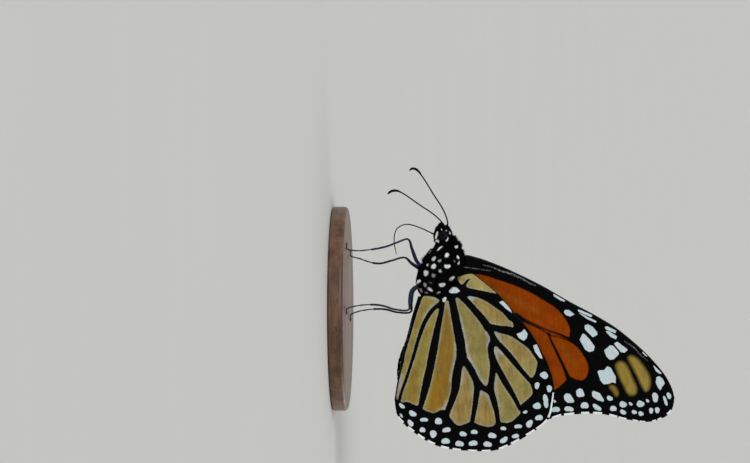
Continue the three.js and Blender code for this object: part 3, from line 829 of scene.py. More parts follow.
class Tree:
    """Adds nodes to a tree and links them."""

    def __init__(self, tree):
        self.tree = tree

    def add(self, kind, values=(), **settings):
        """A node. values pairs a socket's name or number with its value or with what feeds it."""
        node = self.tree.nodes.new(kind)
        for key, value in settings.items():
            setattr(node, key, value)
        for key, value in dict(values).items():
            if isinstance(value, bpy.types.NodeSocket):
                self.tree.links.new(value, node.inputs[key])
            else:
                node.inputs[key].default_value = value
        return node

    def first(self, kind, values=(), **settings):
        """The first output of a new node."""
        return self.add(kind, values, **settings).outputs[0]

    def feed(self, sockets, **sources):
        """Links a source to each named socket. Underscores stand for spaces."""
        for name, source in sources.items():
            self.tree.links.new(source, sockets[name.replace("_", " ")])

    def math(self, operation, *values):
        return self.first("ShaderNodeMath", enumerate(values), operation=operation)

    def vector(self, operation, *values):
        return self.first("ShaderNodeVectorMath", enumerate(values), operation=operation)

    def scaled(self, vector, factor):
        """A vector made longer or shorter."""
        values = {0: vector, "Scale": factor}
        return self.first("ShaderNodeVectorMath", values, operation="SCALE")

    def mix(self, factor, a, b, blend="MIX"):
        """A blend of two colours, each from a socket or as its three parts."""
        a, b = (c if isinstance(c, bpy.types.NodeSocket) else opaque(c) for c in (a, b))
        settings = {"data_type": "RGBA", "blend_type": blend}
        return self.add("ShaderNodeMix", {0: factor, 6: a, 7: b}, **settings).outputs[2]

    def lightened(self, tint, lightness):
        """A colour made lighter above a lightness of one and darker below it."""
        grey = self.first("ShaderNodeCombineColor", dict.fromkeys(range(3), lightness))
        return self.mix(1.0, tint, grey, "MULTIPLY")

    def step(self, value, low, high, start=0.0, end=1.0):
        """A smooth change from start to end while the value goes from low to high."""
        values = {0: value, 1: low, 2: high, 3: start, 4: end}
        return self.first("ShaderNodeMapRange", values, interpolation_type="SMOOTHSTEP")

    def position(self):
        """Where a point is on the finished piece."""
        return self.add("ShaderNodeTexCoord").outputs["Object"]

    def stretched(self, position, share):
        """A position whose patterns are drawn out along X."""
        return self.first("ShaderNodeMapping", {0: position, 3: (share, 1.0, 1.0)})

    def noise(self, position, fineness_mm, detail=2.0):
        """Noise whose lumps are about the given size."""
        values = {"Vector": position, "Scale": 1 / (fineness_mm * MM), "Detail": detail}
        return self.first("ShaderNodeTexNoise", values)

    def attribute(self, name):
        return self.add("ShaderNodeAttribute", attribute_name=name).outputs["Fac"]

    def field(self, name, kind="FLOAT"):
        """What an attribute says, in a geometry tree."""
        return self.first("GeometryNodeInputNamedAttribute", {"Name": name}, data_type=kind)

    def bump(self, height, strength, depth_mm):
        """The normals of a surface with fine relief."""
        values = {"Height": height, "Strength": strength, "Distance": depth_mm * MM}
        return self.first("ShaderNodeBump", values)


def node_group(name, kind, inputs, outputs, fill):
    """The node group of that name. It is made and filled the first time that it is asked for."""
    if name in bpy.data.node_groups:
        return bpy.data.node_groups[name]
    group = bpy.data.node_groups.new(name, kind)
    for direction, sockets in (("INPUT", inputs), ("OUTPUT", outputs)):
        for label, carries in sockets.items():
            socket_type = f"NodeSocket{carries}"
            group.interface.new_socket(label, in_out=direction, socket_type=socket_type)
    tree = Tree(group)
    fill(tree, tree.add("NodeGroupInput").outputs, tree.add("NodeGroupOutput").inputs)
    return group


# ---- Materials -------------------------------------------

def scales_group():
    """Rows of flat scales: how light each scale is, and how high its edges stand."""

    def fill(tree, given, wanted):
        parts = tree.add("ShaderNodeSeparateXYZ", {0: tree.position()}).outputs
        along = tree.math("DIVIDE", tree.math("DIVIDE", parts[0], MM), given["Length"])
        across = tree.math("DIVIDE", tree.math("DIVIDE", parts[2], MM), given["Width"])
        place = tree.first("ShaderNodeCombineXYZ", {0: along, 1: across})
        values = {"Vector": place, "Scale": 1.0, "Randomness": 0.75}
        cells = tree.add("ShaderNodeTexVoronoi", values).outputs
        shade = tree.first("ShaderNodeSeparateColor", {0: cells["Color"]})
        tree.feed(wanted, Shade=shade, Height=cells["Distance"])

    inputs = {"Length": "Float", "Width": "Float"}
    outputs = {"Shade": "Float", "Height": "Float"}
    return node_group("Scale rows", "ShaderNodeTree", inputs, outputs, fill)


def markings_group():
    """Masks of the black and the white markings with frayed edges, from distances in mm.

    The blooms are narrower and wider bands of pale scales beside the black.
    """

    def fill(tree, given, wanted):
        position = tree.position()
        rough = tree.math("SUBTRACT", tree.noise(position, 0.3, 3.0), 0.5)
        fine = tree.math("SUBTRACT", tree.noise(position, 0.1, 1.0), 0.5)
        half_fray = tree.math("MULTIPLY", tree.math("ADD", rough, fine), given["Fray"])
        fray = tree.math("MULTIPLY", half_fray, 2.0)
        ink = tree.math("ADD", tree.attribute("ink"), fray)
        white = tree.math("ADD", tree.attribute("white"), half_fray)

        def below(value, softness):
            """1 where the value is below 0, with a soft edge."""
            return tree.step(value, tree.math("MULTIPLY", softness, -1.0), softness, 1.0, 0.0)

        tree.feed(
            wanted,
            Black=below(ink, tree.attribute("soft")),
            White=below(white, given["Softness"]),
            Bloom=tree.step(ink, 0.0, 0.45, 1.0, 0.0),
            Wide_bloom=tree.step(ink, 0.2, 0.75, 1.0, 0.0),
        )

    inputs = {"Fray": "Float", "Softness": "Float"}
    outputs = dict.fromkeys(("Black", "White", "Bloom", "Wide bloom"), "Float")
    return node_group("Frayed markings", "ShaderNodeTree", inputs, outputs, fill)


def new_material(name, **constants):
    """A material with its shader, and a tree to add to. Constants go on the shader's sockets."""
    material = bpy.data.materials.new(name)
    material.use_nodes = True
    shader = material.node_tree.nodes["Principled BSDF"].inputs
    for key, value in constants.items():
        shader[key.replace("_", " ")].default_value = value
    return material, Tree(material.node_tree), shader


# Sizes of the wing's scales and of the frayed edges of its markings, in millimetres.
SCALE_SIZE = {"Length": 0.22, "Width": 0.1}
MARKING_EDGE = {"Fray": 0.11, "Softness": 0.05}
# Below the first height the hindwing's ground is golden, and above the second it isn't.
GOLDEN_HEIGHTS = (19.0, 22.0)


def wing_material(name, settings, ground, golden, patch, bloom):
    """Scaled membrane: coloured cells, black veins and borders, and white spots.

    The ground turns golden low down. bloom is how pale the scales beside every vein are.
    """
    material, tree, shader = new_material(name, Roughness=0.85, Specular_IOR_Level=0.05)
    position = tree.position()
    marks = tree.add("ShaderNodeGroup", MARKING_EDGE, node_tree=markings_group()).outputs
    scales = tree.add("ShaderNodeGroup", SCALE_SIZE, node_tree=scales_group()).outputs
    height = tree.add("ShaderNodeSeparateXYZ", {0: position}).outputs[2]
    drift = tree.noise(position, 2.5, 3.0)
    strands = tree.noise(tree.stretched(position, 0.15), 0.45)

    low, high = GOLDEN_HEIGHTS
    low_down = tree.step(height, low * MM, high * MM, 1.0, 0.0)
    cell = tree.mix(low_down, ground, golden)
    rose = tree.attribute("rose")
    cell = tree.mix(rose, cell, settings.rose)
    browner = tree.math("MULTIPLY", rose, tree.step(strands, 0.48, 0.68, 0.0, 0.38))
    cell = tree.mix(browner, cell, settings.warm)
    cell = tree.mix(tree.step(tree.attribute("patch"), -0.9, -0.3), cell, patch)
    warmth = tree.math("MULTIPLY", tree.attribute("warm"), tree.step(drift, 0.2, 0.7, 0.6, 1.0))
    cell = tree.mix(warmth, cell, settings.warm)

    uneven = tree.step(tree.noise(position, 0.8), 0.3, 0.6, 0.6, 1.0)
    marked = tree.math("MULTIPLY", tree.attribute("bloom"), marks["Wide bloom"])
    beside_veins = tree.math("MULTIPLY", marks["Bloom"], bloom)
    pale = tree.math("MAXIMUM", beside_veins, tree.math("MULTIPLY", marked, uneven))
    cell = tree.mix(pale, cell, settings.bloom)
    streak = tree.step(strands, 0.3, 0.7, 1.08, 0.92)
    cloud = tree.step(drift, 0.3, 0.7, 0.86, 1.14)
    cell = tree.lightened(cell, tree.math("MULTIPLY", streak, cloud))

    shown = tree.mix(marks["Black"], cell, settings.black)
    speckle = tree.step(tree.noise(position, 0.25), 0.42, 0.6, 0.15, 1.0)
    # Painted highlight: speckled pale lines along the veins of the leading edge.
    near_painted_glint = tree.step(tree.attribute("glint"), -0.1, 0.1, 1.0, 0.0)
    shown = tree.mix(tree.math("MULTIPLY", near_painted_glint, speckle), shown, settings.glint)
    white = tree.mix(tree.step(drift, 0.4, 0.6), settings.white, settings.lilac)
    shown = tree.mix(marks["White"], shown, white)
    shown = tree.lightened(shown, tree.step(scales["Shade"], 0.0, 1.0, 0.9, 1.1))
    tree.feed(shader, Base_Color=shown, Normal=tree.bump(scales["Height"], 0.35, 0.02))
    return material


def spotted_material(name, black, white, roughness, specular):
    """Black scales or hair, which are as white as an attribute called pale says."""
    material, tree, shader = new_material(name, Roughness=roughness, Specular_IOR_Level=specular)
    position = tree.position()
    shade = tree.step(tree.noise(position, 0.15), 0.25, 0.75, 0.75, 1.2)
    mixed = tree.mix(tree.attribute("pale"), black, white)
    relief = tree.bump(tree.noise(position, 0.08), 0.4, 0.03)
    tree.feed(shader, Base_Color=tree.lightened(mixed, shade), Normal=relief)
    return material


def horn_material(name, dark, light, roughness, specular, coat=0.0):
    """Horn of legs, feelers and claws, with fine uneven clouds of its lighter colour. On the legs these
    blue clouds are painted sheen.
    """
    material, tree, shader = new_material(
        name, Specular_IOR_Level=specular, Coat_Weight=coat, Coat_Roughness=0.25
    )
    position = tree.position()
    cloud = tree.step(tree.noise(position, 0.5, 3.0), 0.25, 0.7)
    grain = tree.noise(position, 0.06)
    tree.feed(
        shader,
        Base_Color=tree.mix(cloud, dark, light),
        Roughness=tree.step(grain, 0.3, 0.7, roughness - 0.08, roughness + 0.1),
        Normal=tree.bump(grain, 0.3, 0.01),
    )
    return material


WOOD_DARK = (0.075, 0.032, 0.014)
WOOD_LIGHT = (0.17, 0.082, 0.038)
WOOD_PORES = (0.03, 0.013, 0.007)


def wood_material(name):
    """Dark, fine-grained wood under satin varnish."""
    material, tree, shader = new_material(
        name, Coat_Weight=0.25, Coat_Roughness=0.3, Specular_IOR_Level=0.4
    )
    lines = tree.stretched(tree.position(), 0.08)
    bands = tree.step(tree.noise(lines, 2.2, 4.0), 0.35, 0.65)
    pores = tree.noise(lines, 0.25)
    mixed = tree.mix(bands, WOOD_DARK, WOOD_LIGHT)
    tree.feed(
        shader,
        Base_Color=tree.mix(tree.step(pores, 0.58, 0.7), mixed, WOOD_PORES),
        Roughness=tree.step(pores, 0.3, 0.7, 0.38, 0.52),
        Normal=tree.bump(pores, 0.2, 0.03),
    )
    return material


EYE_DARK = (0.001, 0.0008, 0.001)
# Clouds of painted sheen on the dark facets.
EYE_PAINTED_SHEEN = (0.020, 0.012, 0.017)


def eye_material(name):
    """Dark glossy facets, with clouds of faint purple-brown painted sheen."""
    material, tree, shader = new_material(
        name, Roughness=0.4, Specular_IOR_Level=0.04, Coat_Weight=0.05, Coat_Roughness=0.08
    )
    cloud = tree.step(tree.noise(tree.position(), 0.45), 0.42, 0.66)
    tree.feed(shader, Base_Color=tree.mix(cloud, EYE_DARK, EYE_PAINTED_SHEEN))
    return material


def floor_material(name, tint):
    """Plain pale paper that is a little uneven."""
    material, tree, shader = new_material(name, Roughness=0.9, Specular_IOR_Level=0.1)
    darker = [0.97 * part for part in tint]
    cloud = tree.noise(tree.position(), 60.0)
    tree.feed(shader, Base_Color=tree.mix(cloud, darker, tint))
    return material


# ---- Geometry trees and the shapes that they repeat ------

def geometry_tree(name, inputs, fill):
    """A geometry tree with named inputs. What fill makes is realized and gets the material."""

    def fill_and_end(tree, given, wanted):
        whole = tree.first("GeometryNodeRealizeInstances", {"Geometry": fill(tree, given)})
        values = {"Geometry": whole, "Material": given["Material"]}
        tree.feed(wanted, Geometry=tree.first("GeometryNodeSetMaterial", values))

    inputs = {"Geometry": "Geometry", **inputs, "Material": "Material"}
    return node_group(name, "GeometryNodeTree", inputs, {"Geometry": "Geometry"}, fill_and_end)


def run_tree(made, tree, values, name):
    """Puts a geometry tree on an object, sets its inputs and returns the plain result."""
    modifier = made.modifiers.new("Nodes", "NODES")
    modifier.node_group = tree
    for item in tree.interface.items_tree:
        if item.in_out == "INPUT" and item.name in values:
            modifier[item.identifier] = values[item.name]
    bpy.context.view_layer.update()
    return applied(made, name)


TUFT_INPUTS = {"Tuft": "Object", "Length": "Float", "Width": "Float", "Seed": "Int"}
# The side of a tuft's patch on its coat's map.
TUFT_PATCH = 0.003
# The least and the greatest length of a tuft, beside what its reach says.
TUFT_VARIETY = (0.75, 1.2)


def placed_tufts(tree, given, points, facing):
    """A tuft on each point, which has its own lie, lift, stray and reach, and its own patch."""

    def keep(geometry, name, value, **settings):
        values = {"Geometry": geometry, "Name": name, "Value": value}
        return tree.first("GeometryNodeStoreNamedAttribute", values, **settings)

    lie, root, within, mapped = (
        tree.field(name, "FLOAT_VECTOR") for name in ("lie", "root", "within", "OFBake")
    )
    points = keep(points, "root", mapped, data_type="FLOAT_VECTOR")
    points = tree.first("GeometryNodeRemoveAttribute", {"Geometry": points, "Name": "OFBake"})

    values = {"Min": (-1, -1, -1), "Max": (1, 1, 1), "Seed": given["Seed"]}
    stray = tree.first("FunctionNodeRandomValue", values, data_type="FLOAT_VECTOR")
    stray = tree.scaled(stray, tree.field("stray"))
    heading = tree.vector("ADD", lie, tree.scaled(facing, tree.field("lift")))
    heading = tree.vector("NORMALIZE", tree.vector("ADD", heading, stray))
    align = "FunctionNodeAlignRotationToVector"
    turned = tree.first(align, {"Vector": heading}, axis="Z")
    turned = tree.first(align, {"Rotation": turned, "Vector": facing}, axis="Y", pivot_axis="Z")

    least, most = TUFT_VARIETY
    values = {2: least, 3: most, "Seed": given["Seed"]}
    vary = tree.add("FunctionNodeRandomValue", values, data_type="FLOAT").outputs[1]
    reach = tree.math("MULTIPLY", tree.field("reach"), vary)
    length = tree.math("MULTIPLY", given["Length"], reach)
    values = {0: given["Width"], 1: given["Width"], 2: length}
    scale = tree.first("ShaderNodeCombineXYZ", values)
    tuft = tree.add("GeometryNodeObjectInfo", {"Object": given["Tuft"]}).outputs["Geometry"]
    values = {"Points": points, "Instance": tuft, "Rotation": turned, "Scale": scale}
    tufts = tree.first("GeometryNodeInstanceOnPoints", values)
    whole = tree.first("GeometryNodeRealizeInstances", {"Geometry": tufts})
    patch = tree.vector("ADD", root, tree.scaled(within, TUFT_PATCH))
    return keep(whole, "OFBake", patch, data_type="FLOAT2", domain="CORNER")


def coat_tree():
    """Tufts strewn over a surface, more of them where the attribute called Share says so."""

    def fill(tree, given):
        density = tree.math("MULTIPLY", tree.field(given["Share"]), given["Density"])
        values = {"Mesh": given["Geometry"], "Density": density, "Seed": given["Seed"]}
        strewn = tree.add("GeometryNodeDistributePointsOnFaces", values).outputs
        return placed_tufts(tree, given, strewn["Points"], strewn["Normal"])

    return geometry_tree("Coat", {**TUFT_INPUTS, "Density": "Float", "Share": "String"}, fill)


def fringe_tree():
    """Tufts on each point of a line, facing the way that each point says."""

    def fill(tree, given):
        points = tree.first("GeometryNodeMeshToPoints", {"Mesh": given["Geometry"]})
        return placed_tufts(tree, given, points, tree.field("facing", "FLOAT_VECTOR"))

    return geometry_tree("Fringe", TUFT_INPUTS, fill)


def tube_tree():
    """A round tube along each line of edges. Each point has its own radius."""

    def fill(tree, given):
        line = tree.first("GeometryNodeMeshToCurve", {"Mesh": given["Geometry"]})
        values = {"Resolution": given["Sides"], "Radius": 1.0}
        ring = tree.first("GeometryNodeCurvePrimitiveCircle", values)
        values = {"Curve": line, "Profile Curve": ring, "Fill Caps": True}
        tube = tree.first("GeometryNodeCurveToMesh", {**values, "Scale": tree.field("radius")})
        return tree.first("GeometryNodeSetShadeSmooth", {"Geometry": tube})

    return geometry_tree("Tubes", {"Sides": "Int"}, fill)


# How wide the flat top of an eye's facet is beside the facet.
FACET_TOP = 0.62


def eye_tree():
    """A ball of six-sided facets, each of which rises to a small flat top."""

    def fill(tree, given):
        values = {"Radius": 1.0, "Subdivisions": given["Fineness"]}
        ball = tree.first("GeometryNodeMeshIcoSphere", values)
        facets = tree.first("GeometryNodeDualMesh", {0: ball})
        values = {"Mesh": facets, "Offset Scale": given["Rise"], "Individual": True}
        raised = tree.add("GeometryNodeExtrudeMesh", values).outputs
        values = {"Geometry": raised["Mesh"], "Selection": raised["Top"], "Scale": FACET_TOP}
        narrowed = tree.first("GeometryNodeScaleElements", values)
        values = {"Geometry": narrowed, "Translation": given["Centre"], "Scale": given["Radii"]}
        return tree.first("GeometryNodeTransform", values)

    inputs = {"Fineness": "Int", "Rise": "Float", "Radii": "Vector", "Centre": "Vector"}
    return geometry_tree("Facets", inputs, fill)


def template(name, points, faces):
    """A hidden shape in its own units, whose points know where in the shape they are."""
    points = np.asarray(points, float)
    made = make_object(name, points / MM, faces, smooth=False)
    within = np.column_stack([points[:, 0], points[:, 2] - 0.5, np.zeros(len(points))])
    store(made, {"within": np.clip(within, -0.5, 0.5)})
    made.hide_render = True
    return made


# How far a hair is rooted below the surface, in lengths of the hair.
ROOT_DEPTH = 0.1


def blade(root, tip, thickness):
    """One hair: three sides that meet in a point. root is its x and y, and tip its x, y and z."""
    x, y = root
    corners = [
        (x - thickness, y, -ROOT_DEPTH),
        (x + thickness, y, -ROOT_DEPTH),
        (x, y + 0.8 * thickness, -ROOT_DEPTH),
        tip,
    ]
    return corners, [(0, 1, 3), (1, 2, 3), (2, 0, 3), (2, 1, 0)]


# A tuft of hair, one unit long up Z and about one unit wide. Its tips droop away from +Y.
TUFT = {"hairs": 3, "root": 0.3, "spread": 2.0, "droop": 0.5, "thickness": 0.22, "seed": 9}


def make_tuft(name):
    """A tuft of a few hairs."""
    chosen = np.random.default_rng(TUFT["seed"])
    shells = []
    for i in range(TUFT["hairs"]):
        turn = 2 * math.pi * i / TUFT["hairs"]
        x, y = TUFT["root"] * math.cos(turn), TUFT["root"] * math.sin(turn)
        tip = (x * TUFT["spread"], y * TUFT["spread"] - TUFT["droop"], chosen.uniform(0.75, 1.0))
        shells.append(blade((x, y), tip, TUFT["thickness"]))
    return template(name, *join_shells(shells))


def make_spine(name):
    """One stiff spine."""
    return template(name, *blade((0.0, 0.0), (0.0, -0.1, 1.0), 0.5))


# Half of a scale's outline, from its stalk to its tip, as distance from the middle and height.
SCALE_SIDE = [(0.12, 0.0), (0.48, 0.4), (0.42, 0.9)]
SCALE_HALF_THICKNESS = 0.06


def make_scale(name):
    """A flat scale one unit long up Z: a narrow stalk, a broad blade and a blunt tip."""
    left = [(-x, z) for x, z in SCALE_SIDE]
    outline = left[:1] + SCALE_SIDE + [(0.0, 1.0)] + left[:0:-1]
    count = len(outline)
    half = SCALE_HALF_THICKNESS
    points = [(x, y, z) for y in (half, -half) for x, z in outline]
    faces = [tuple(range(count)), tuple(range(2 * count - 1, count - 1, -1))]
    faces += [(i, i + count, (i + 1) % count + count, (i + 1) % count) for i in range(count)]
    made = template(name, points, faces)
    face_outwards(made)
    return made


# ---- Wings -----------------------------------------------

# Each value is the forewing's and then the hindwing's.
# softness: how far the black's edge fades, in the wing and round its pale patches.
# fine: boxes of least and greatest x and z in which the membrane's points are closer.
# front: how many points of the outline lie along the thick leading edge, and how far it stands in.
# fringe: the box of least and greatest x and z that holds the fringed part of the edge.
WING_VALUES = {
    "outline": (FOREWING_OUTLINE, HINDWING_OUTLINE),
    "apart": (FOREWING_APART, HINDWING_APART),
    "ground": (FOREWING_GROUND, HINDWING_GROUND),
    "patches": (FOREWING_PATCHES, HINDWING_PATCHES),
    "veins": (FOREWING_VEINS, HINDWING_VEINS),
    "spots": (FOREWING_SPOTS, HINDWING_SPOTS),
    "blots": (FOREWING_BLOTS, HINDWING_BLOTS),
    "dashes": (FOREWING_DASHES, HINDWING_DASHES),
    "tints": (FOREWING_TINTS, HINDWING_TINTS),
    "glints": (FOREWING_PAINTED_GLINTS, []),
    "ribs": (FOREWING_RIBS, []),
    "softness": (0.16, 0.06),
    "patch softness": (0.5, 0.06),
    "patch inset": (0.15, 0.0),
    "fine": ([(-0.7, 3.5, 47.4, 52.4), (2.8, 6.6, 52.7, 56.5)], []),
    "front": ((9, 0.16), (6, 0.1)),
    "fringe": ((17.0, 22.2, 40.5, 67.0), (9.0, 28.5, 12.6, 44.0)),
}
WINGS = {
    kind: {name: pair[index] for name, pair in WING_VALUES.items()}
    for index, kind in enumerate(("forewing", "hindwing"))
}
# How far the corners between two veins, and between a vein and the ground, are rounded off.
VEIN_BLEND = 0.5
GROUND_BLEND = 0.3
# Where a tint starts to fade and where it ends, from the edge of its line.
TINT_EDGES = {"warm": (-0.5, 0.7), "rose": (-0.5, 1.2), "bloom": (0.1, 0.9)}
# How much smaller than they are given the spots and the blots are.
SPOT_SHRINKAGE = 0.07
BLOT_SHRINKAGE = 0.02
# How deep into the fringe a white dash reaches.
DASH_DEPTH = 1.3
ROOT_SINK = 1.0
RIM_SPACING = 0.2
# How far inside the outline the membrane ends where it has no fringe.
BARE_INSET = 0.06
# The fringe grows to its full length over this distance from the ends of its box.
FRINGE_TAPER = 1.5
# How far in from its edge the membrane reaches its full thickness, relief and sag.
THICK_FROM_EDGE = 0.35
RAISED_FROM_EDGE = 0.3
SAGGING_FROM_EDGE = 1.5
# Half widths of the swelling over a vein and of the stretch beside it that doesn't sag.
RIDGE_WIDTH = 0.22
TAUT_WIDTH = 1.3
SAG = 0.07
# The square of the wings that the map shows: its corner, its side and the margin round it.
MAP_CORNER = (-12.0, 11.0)
MAP_SIDE = 56.0
MAP_MARGIN = 0.02
# Each side of the wing has half of the map's width, and is stretched to fill most of it.
MAP_STRETCH = 0.675


def thorax_side():
    """The thorax's outline from the side."""
    under = [(x, low) for x, low, _, _ in THORAX_SECTIONS]
    over = [(x, high) for x, _, high, _ in reversed(THORAX_SECTIONS)]
    return np.array(under + over, float)


def wing_distance(wing, flat):
    """How far out from the midline a wing's middle surface stands. Roots sink into the thorax."""
    back = BACK_LINE["z"] + BACK_LINE["slope"] * (flat[:, 0] - BACK_LINE["x"])
    above = np.maximum(0, flat[:, 1] - back) / SPREAD_HEIGHT
    sunk = ROOT_SINK * smooth_step(depth_inside(flat, thorax_side()), -0.4, 0.6)
    return wing["apart"] + ROOT_SPREAD * np.exp(-above * above) - sunk


def in_place(flat, side, out):
    """Points of a wing seen from the side, at the given distance out from the midline."""
    return np.column_stack([flat[:, 0], side * out, flat[:, 1]])


def in_fringe(wing, points):
    """How much of the fringe's inset holds at points of the edge, from 0 to 1."""
    x_from, x_to, z_from, z_to = wing["fringe"]
    inside = np.minimum.reduce(
        [points[:, 0] - x_from, x_to - points[:, 0], points[:, 1] - z_from, z_to - points[:, 1]]
    )
    return np.clip(inside / FRINGE_TAPER, 0, 1)


def wing_rim(wing, settings):
    """The membrane's edge, and the outward direction at each of its points."""
    edge = evenly(curve_through(wing["outline"], 24, closed=True), RIM_SPACING, closed=True)
    ahead = unit(np.roll(edge, -1, axis=0) - np.roll(edge, 1, axis=0))
    out = np.column_stack([ahead[:, 1], -ahead[:, 0]])
    if depth_inside(edge[:1] + 0.05 * out[:1], edge)[0] > 0:
        out = -out
    inset = BARE_INSET + (settings.inset / MM - BARE_INSET) * in_fringe(wing, edge)
    return edge - out * inset[:, None], out


def wide_line_distance(points, line, steps=5):
    """Distance from a curve given as x, z and width, and distance from its middle."""
    line = curve_through(line, steps)
    middle = line[:, :2]
    return distance_to_line(points, middle, line[:, 2]), distance_to_line(points, middle)


def tint_mask(name, tinted, points):
    """How strong a tint is at each point of a wing."""
    mask = np.zeros(len(points))
    for strength, *line in tinted:
        line = np.array(line, float)
        away = distance_to_line(points, line[:, :2], line[:, 2])
        mask = np.maximum(mask, strength * (1 - smooth_step(away, *TINT_EDGES[name])))
    return mask


def wing_marks(wing, points):
    """The distances and masks that the wing's colours are made from, in millimetres.

    Also gives the distance from the nearest vein or rib, which the relief follows.
    """
    ground = depth_inside(points, curve_through(wing["ground"], 3, closed=True))
    patches = [depth_inside(points, curve_through(p, 3, closed=True)) for p in wing["patches"]]
    patch = np.maximum.reduce(patches) - wing["patch inset"]
    veins, ridge, glint = (np.full(len(points), FAR) for _ in range(3))
    for vein in wing["veins"].values():
        band, middle = wide_line_distance(points, vein)
        veins = smooth_least(veins, band, VEIN_BLEND)
        ridge = np.minimum(ridge, middle)
    for rib in wing["ribs"]:
        ridge = np.minimum(ridge, distance_to_line(points, curve_through(rib, 5)))
    # Distance from the lines of painted highlight.
    for line in wing["glints"]:
        glint = np.minimum(glint, wide_line_distance(points, line, 4)[0])
    near_patch = 1 - smooth_step(-patch, 0.5, 1.2)
    softer = wing["patch softness"] - wing["softness"]
    marks = {
        "ink": smooth_least(np.maximum(ground, patch), veins, GROUND_BLEND),
        "soft": wing["softness"] + softer * near_patch,
        "white": np.minimum(
            spots_distance(points, wing["spots"]) + SPOT_SHRINKAGE,
            spots_distance(points, [], wing["blots"]) + BLOT_SHRINKAGE,
        ),
        "patch": patch,
        "glint": glint,
    }
    for name, tinted in wing["tints"].items():
        marks[name] = tint_mask(name, tinted, points)
    return marks, ridge


def lattice_of(low, high, spacing, rim):
    """The points of a triangular lattice in a box that lie well inside a wing's edge."""
    rows = []
    for i, z in enumerate(np.arange(low[1], high[1], spacing * math.sqrt(3) / 2)):
        x = np.arange(low[0] + spacing / 2 * (i % 2), high[0], spacing)
        rows.append(np.column_stack([x, np.full(len(x), z)]))
    lattice = np.vstack(rows)
    return lattice[depth_inside(lattice, rim) > 0.55 * spacing]


def wing_grid(rim, spacing, fine):
    """Triangles that fill a wing's edge, on a lattice of points, closer in the fine boxes."""
    lattice = lattice_of(rim.min(0), rim.max(0), spacing, rim)
    for x_from, x_to, z_from, z_to in fine:
        low, high = np.array([x_from, z_from]), np.array([x_to, z_to])
        within = np.all((lattice > low - 0.04) & (lattice < high + 0.04), axis=1)
        lattice = np.vstack([lattice[~within], lattice_of(low, high, spacing / 2, rim)])
    points = np.vstack([rim, lattice])
    ring = [(i, (i + 1) % len(rim)) for i in range(len(rim))]
    found = delaunay_2d_cdt([Vector(p) for p in points], ring, [], 1, 1e-7)
    flat = np.array([tuple(p) for p in found[0]])
    if len(flat) != len(points):
        raise RuntimeError("the wing's lattice has lost or gained points")
    return flat, np.array(found[2])


def wing_map(points, upper):
    """Place on the wing's map: the under side on the left half and the upper on the right."""
    part = (points - MAP_CORNER) / MAP_SIDE * (1 - 2 * MAP_MARGIN)
    across = part[:, 0] * MAP_STRETCH + MAP_MARGIN + 0.5 * upper
    return np.column_stack([across, part[:, 1] + MAP_MARGIN])


def membrane_sides(flat, ridge, inwards, wing, side, settings):
    """The points of a membrane's under side and upper side, with its relief and its sag."""
    half = settings.thickness / MM / 2 * np.sqrt(np.clip(inwards / THICK_FROM_EDGE, 0, 1))
    swelling = np.exp(-((ridge / RIDGE_WIDTH) ** 2)) * np.clip(inwards / RAISED_FROM_EDGE, 0, 1)
    half = half + settings.relief / MM * swelling
    slack = 1 - np.exp(-((ridge / TAUT_WIDTH) ** 2))
    sag = SAG * slack * np.clip(inwards / SAGGING_FROM_EDGE, 0, 1)
    middle = wing_distance(wing, flat) - sag
    return in_place(flat, side, middle + half), in_place(flat, side, middle - half)


def wing_membrane(kind, word, side, settings, materials):
    """The scaled membrane of one wing as a thin closed shell."""
    wing = WINGS[kind]
    rim, _ = wing_rim(wing, settings)
    flat, triangles = wing_grid(rim, settings.spacing / MM, wing["fine"])
    marks, ridge = wing_marks(wing, flat)
    count, edge_count = len(flat), len(rim)
    inwards = depth_inside(flat, rim)
    inwards[:edge_count] = 0
    under, upper = membrane_sides(flat, ridge, inwards, wing, side, settings)

    # Both sides share the points of the edge.
    points = np.vstack([under, upper[edge_count:]])
    of_upper = np.r_[np.arange(edge_count), np.arange(count, 2 * count - edge_count)]
    a, b, c = points[triangles[0]]
    if np.cross(b - a, c - a)[1] * side < 0:
        triangles = triangles[:, ::-1]
    faces = np.vstack([triangles, of_upper[triangles[:, ::-1]]])
    made = make_object(f"{kind}_{word}_membrane", points, faces.tolist())
    for material in materials:
        made.data.materials.append(material)
    is_upper = np.repeat([0, 1], len(triangles))
    made.data.polygons.foreach_set("material_index", is_upper)
    store(made, {name: np.r_[values, values[edge_count:]] for name, values in marks.items()})
    corners = np.vstack([flat, flat[edge_count:]])[faces.ravel()]
    layer = made.data.uv_layers.new(name="OFBake")
    layer.data.foreach_set("uv", wing_map(corners, np.repeat(is_upper, 3)).ravel())
    return made


def line_object(name, lines, **fields):
    """An object of open lines, with values or vectors for each of their points."""
    edges, start = [], 0
    for line in lines:
        edges += [(start + i, start + i + 1) for i in range(len(line) - 1)]
        start += len(line)
    made = make_object(name, np.vstack(lines), [], edges)
    store(made, fields)
    return made


# Ribs: how far apart their points are, how thin they get, and how quickly they end.
RIB_SPACING = 0.25
RIB_TAPER = 0.75
RIB_END = 12.0
# The leading edge's radius beside how far it stands in, and how thin it gets.
FRONT_FULLNESS = 1.15
FRONT_TAPER = 0.6


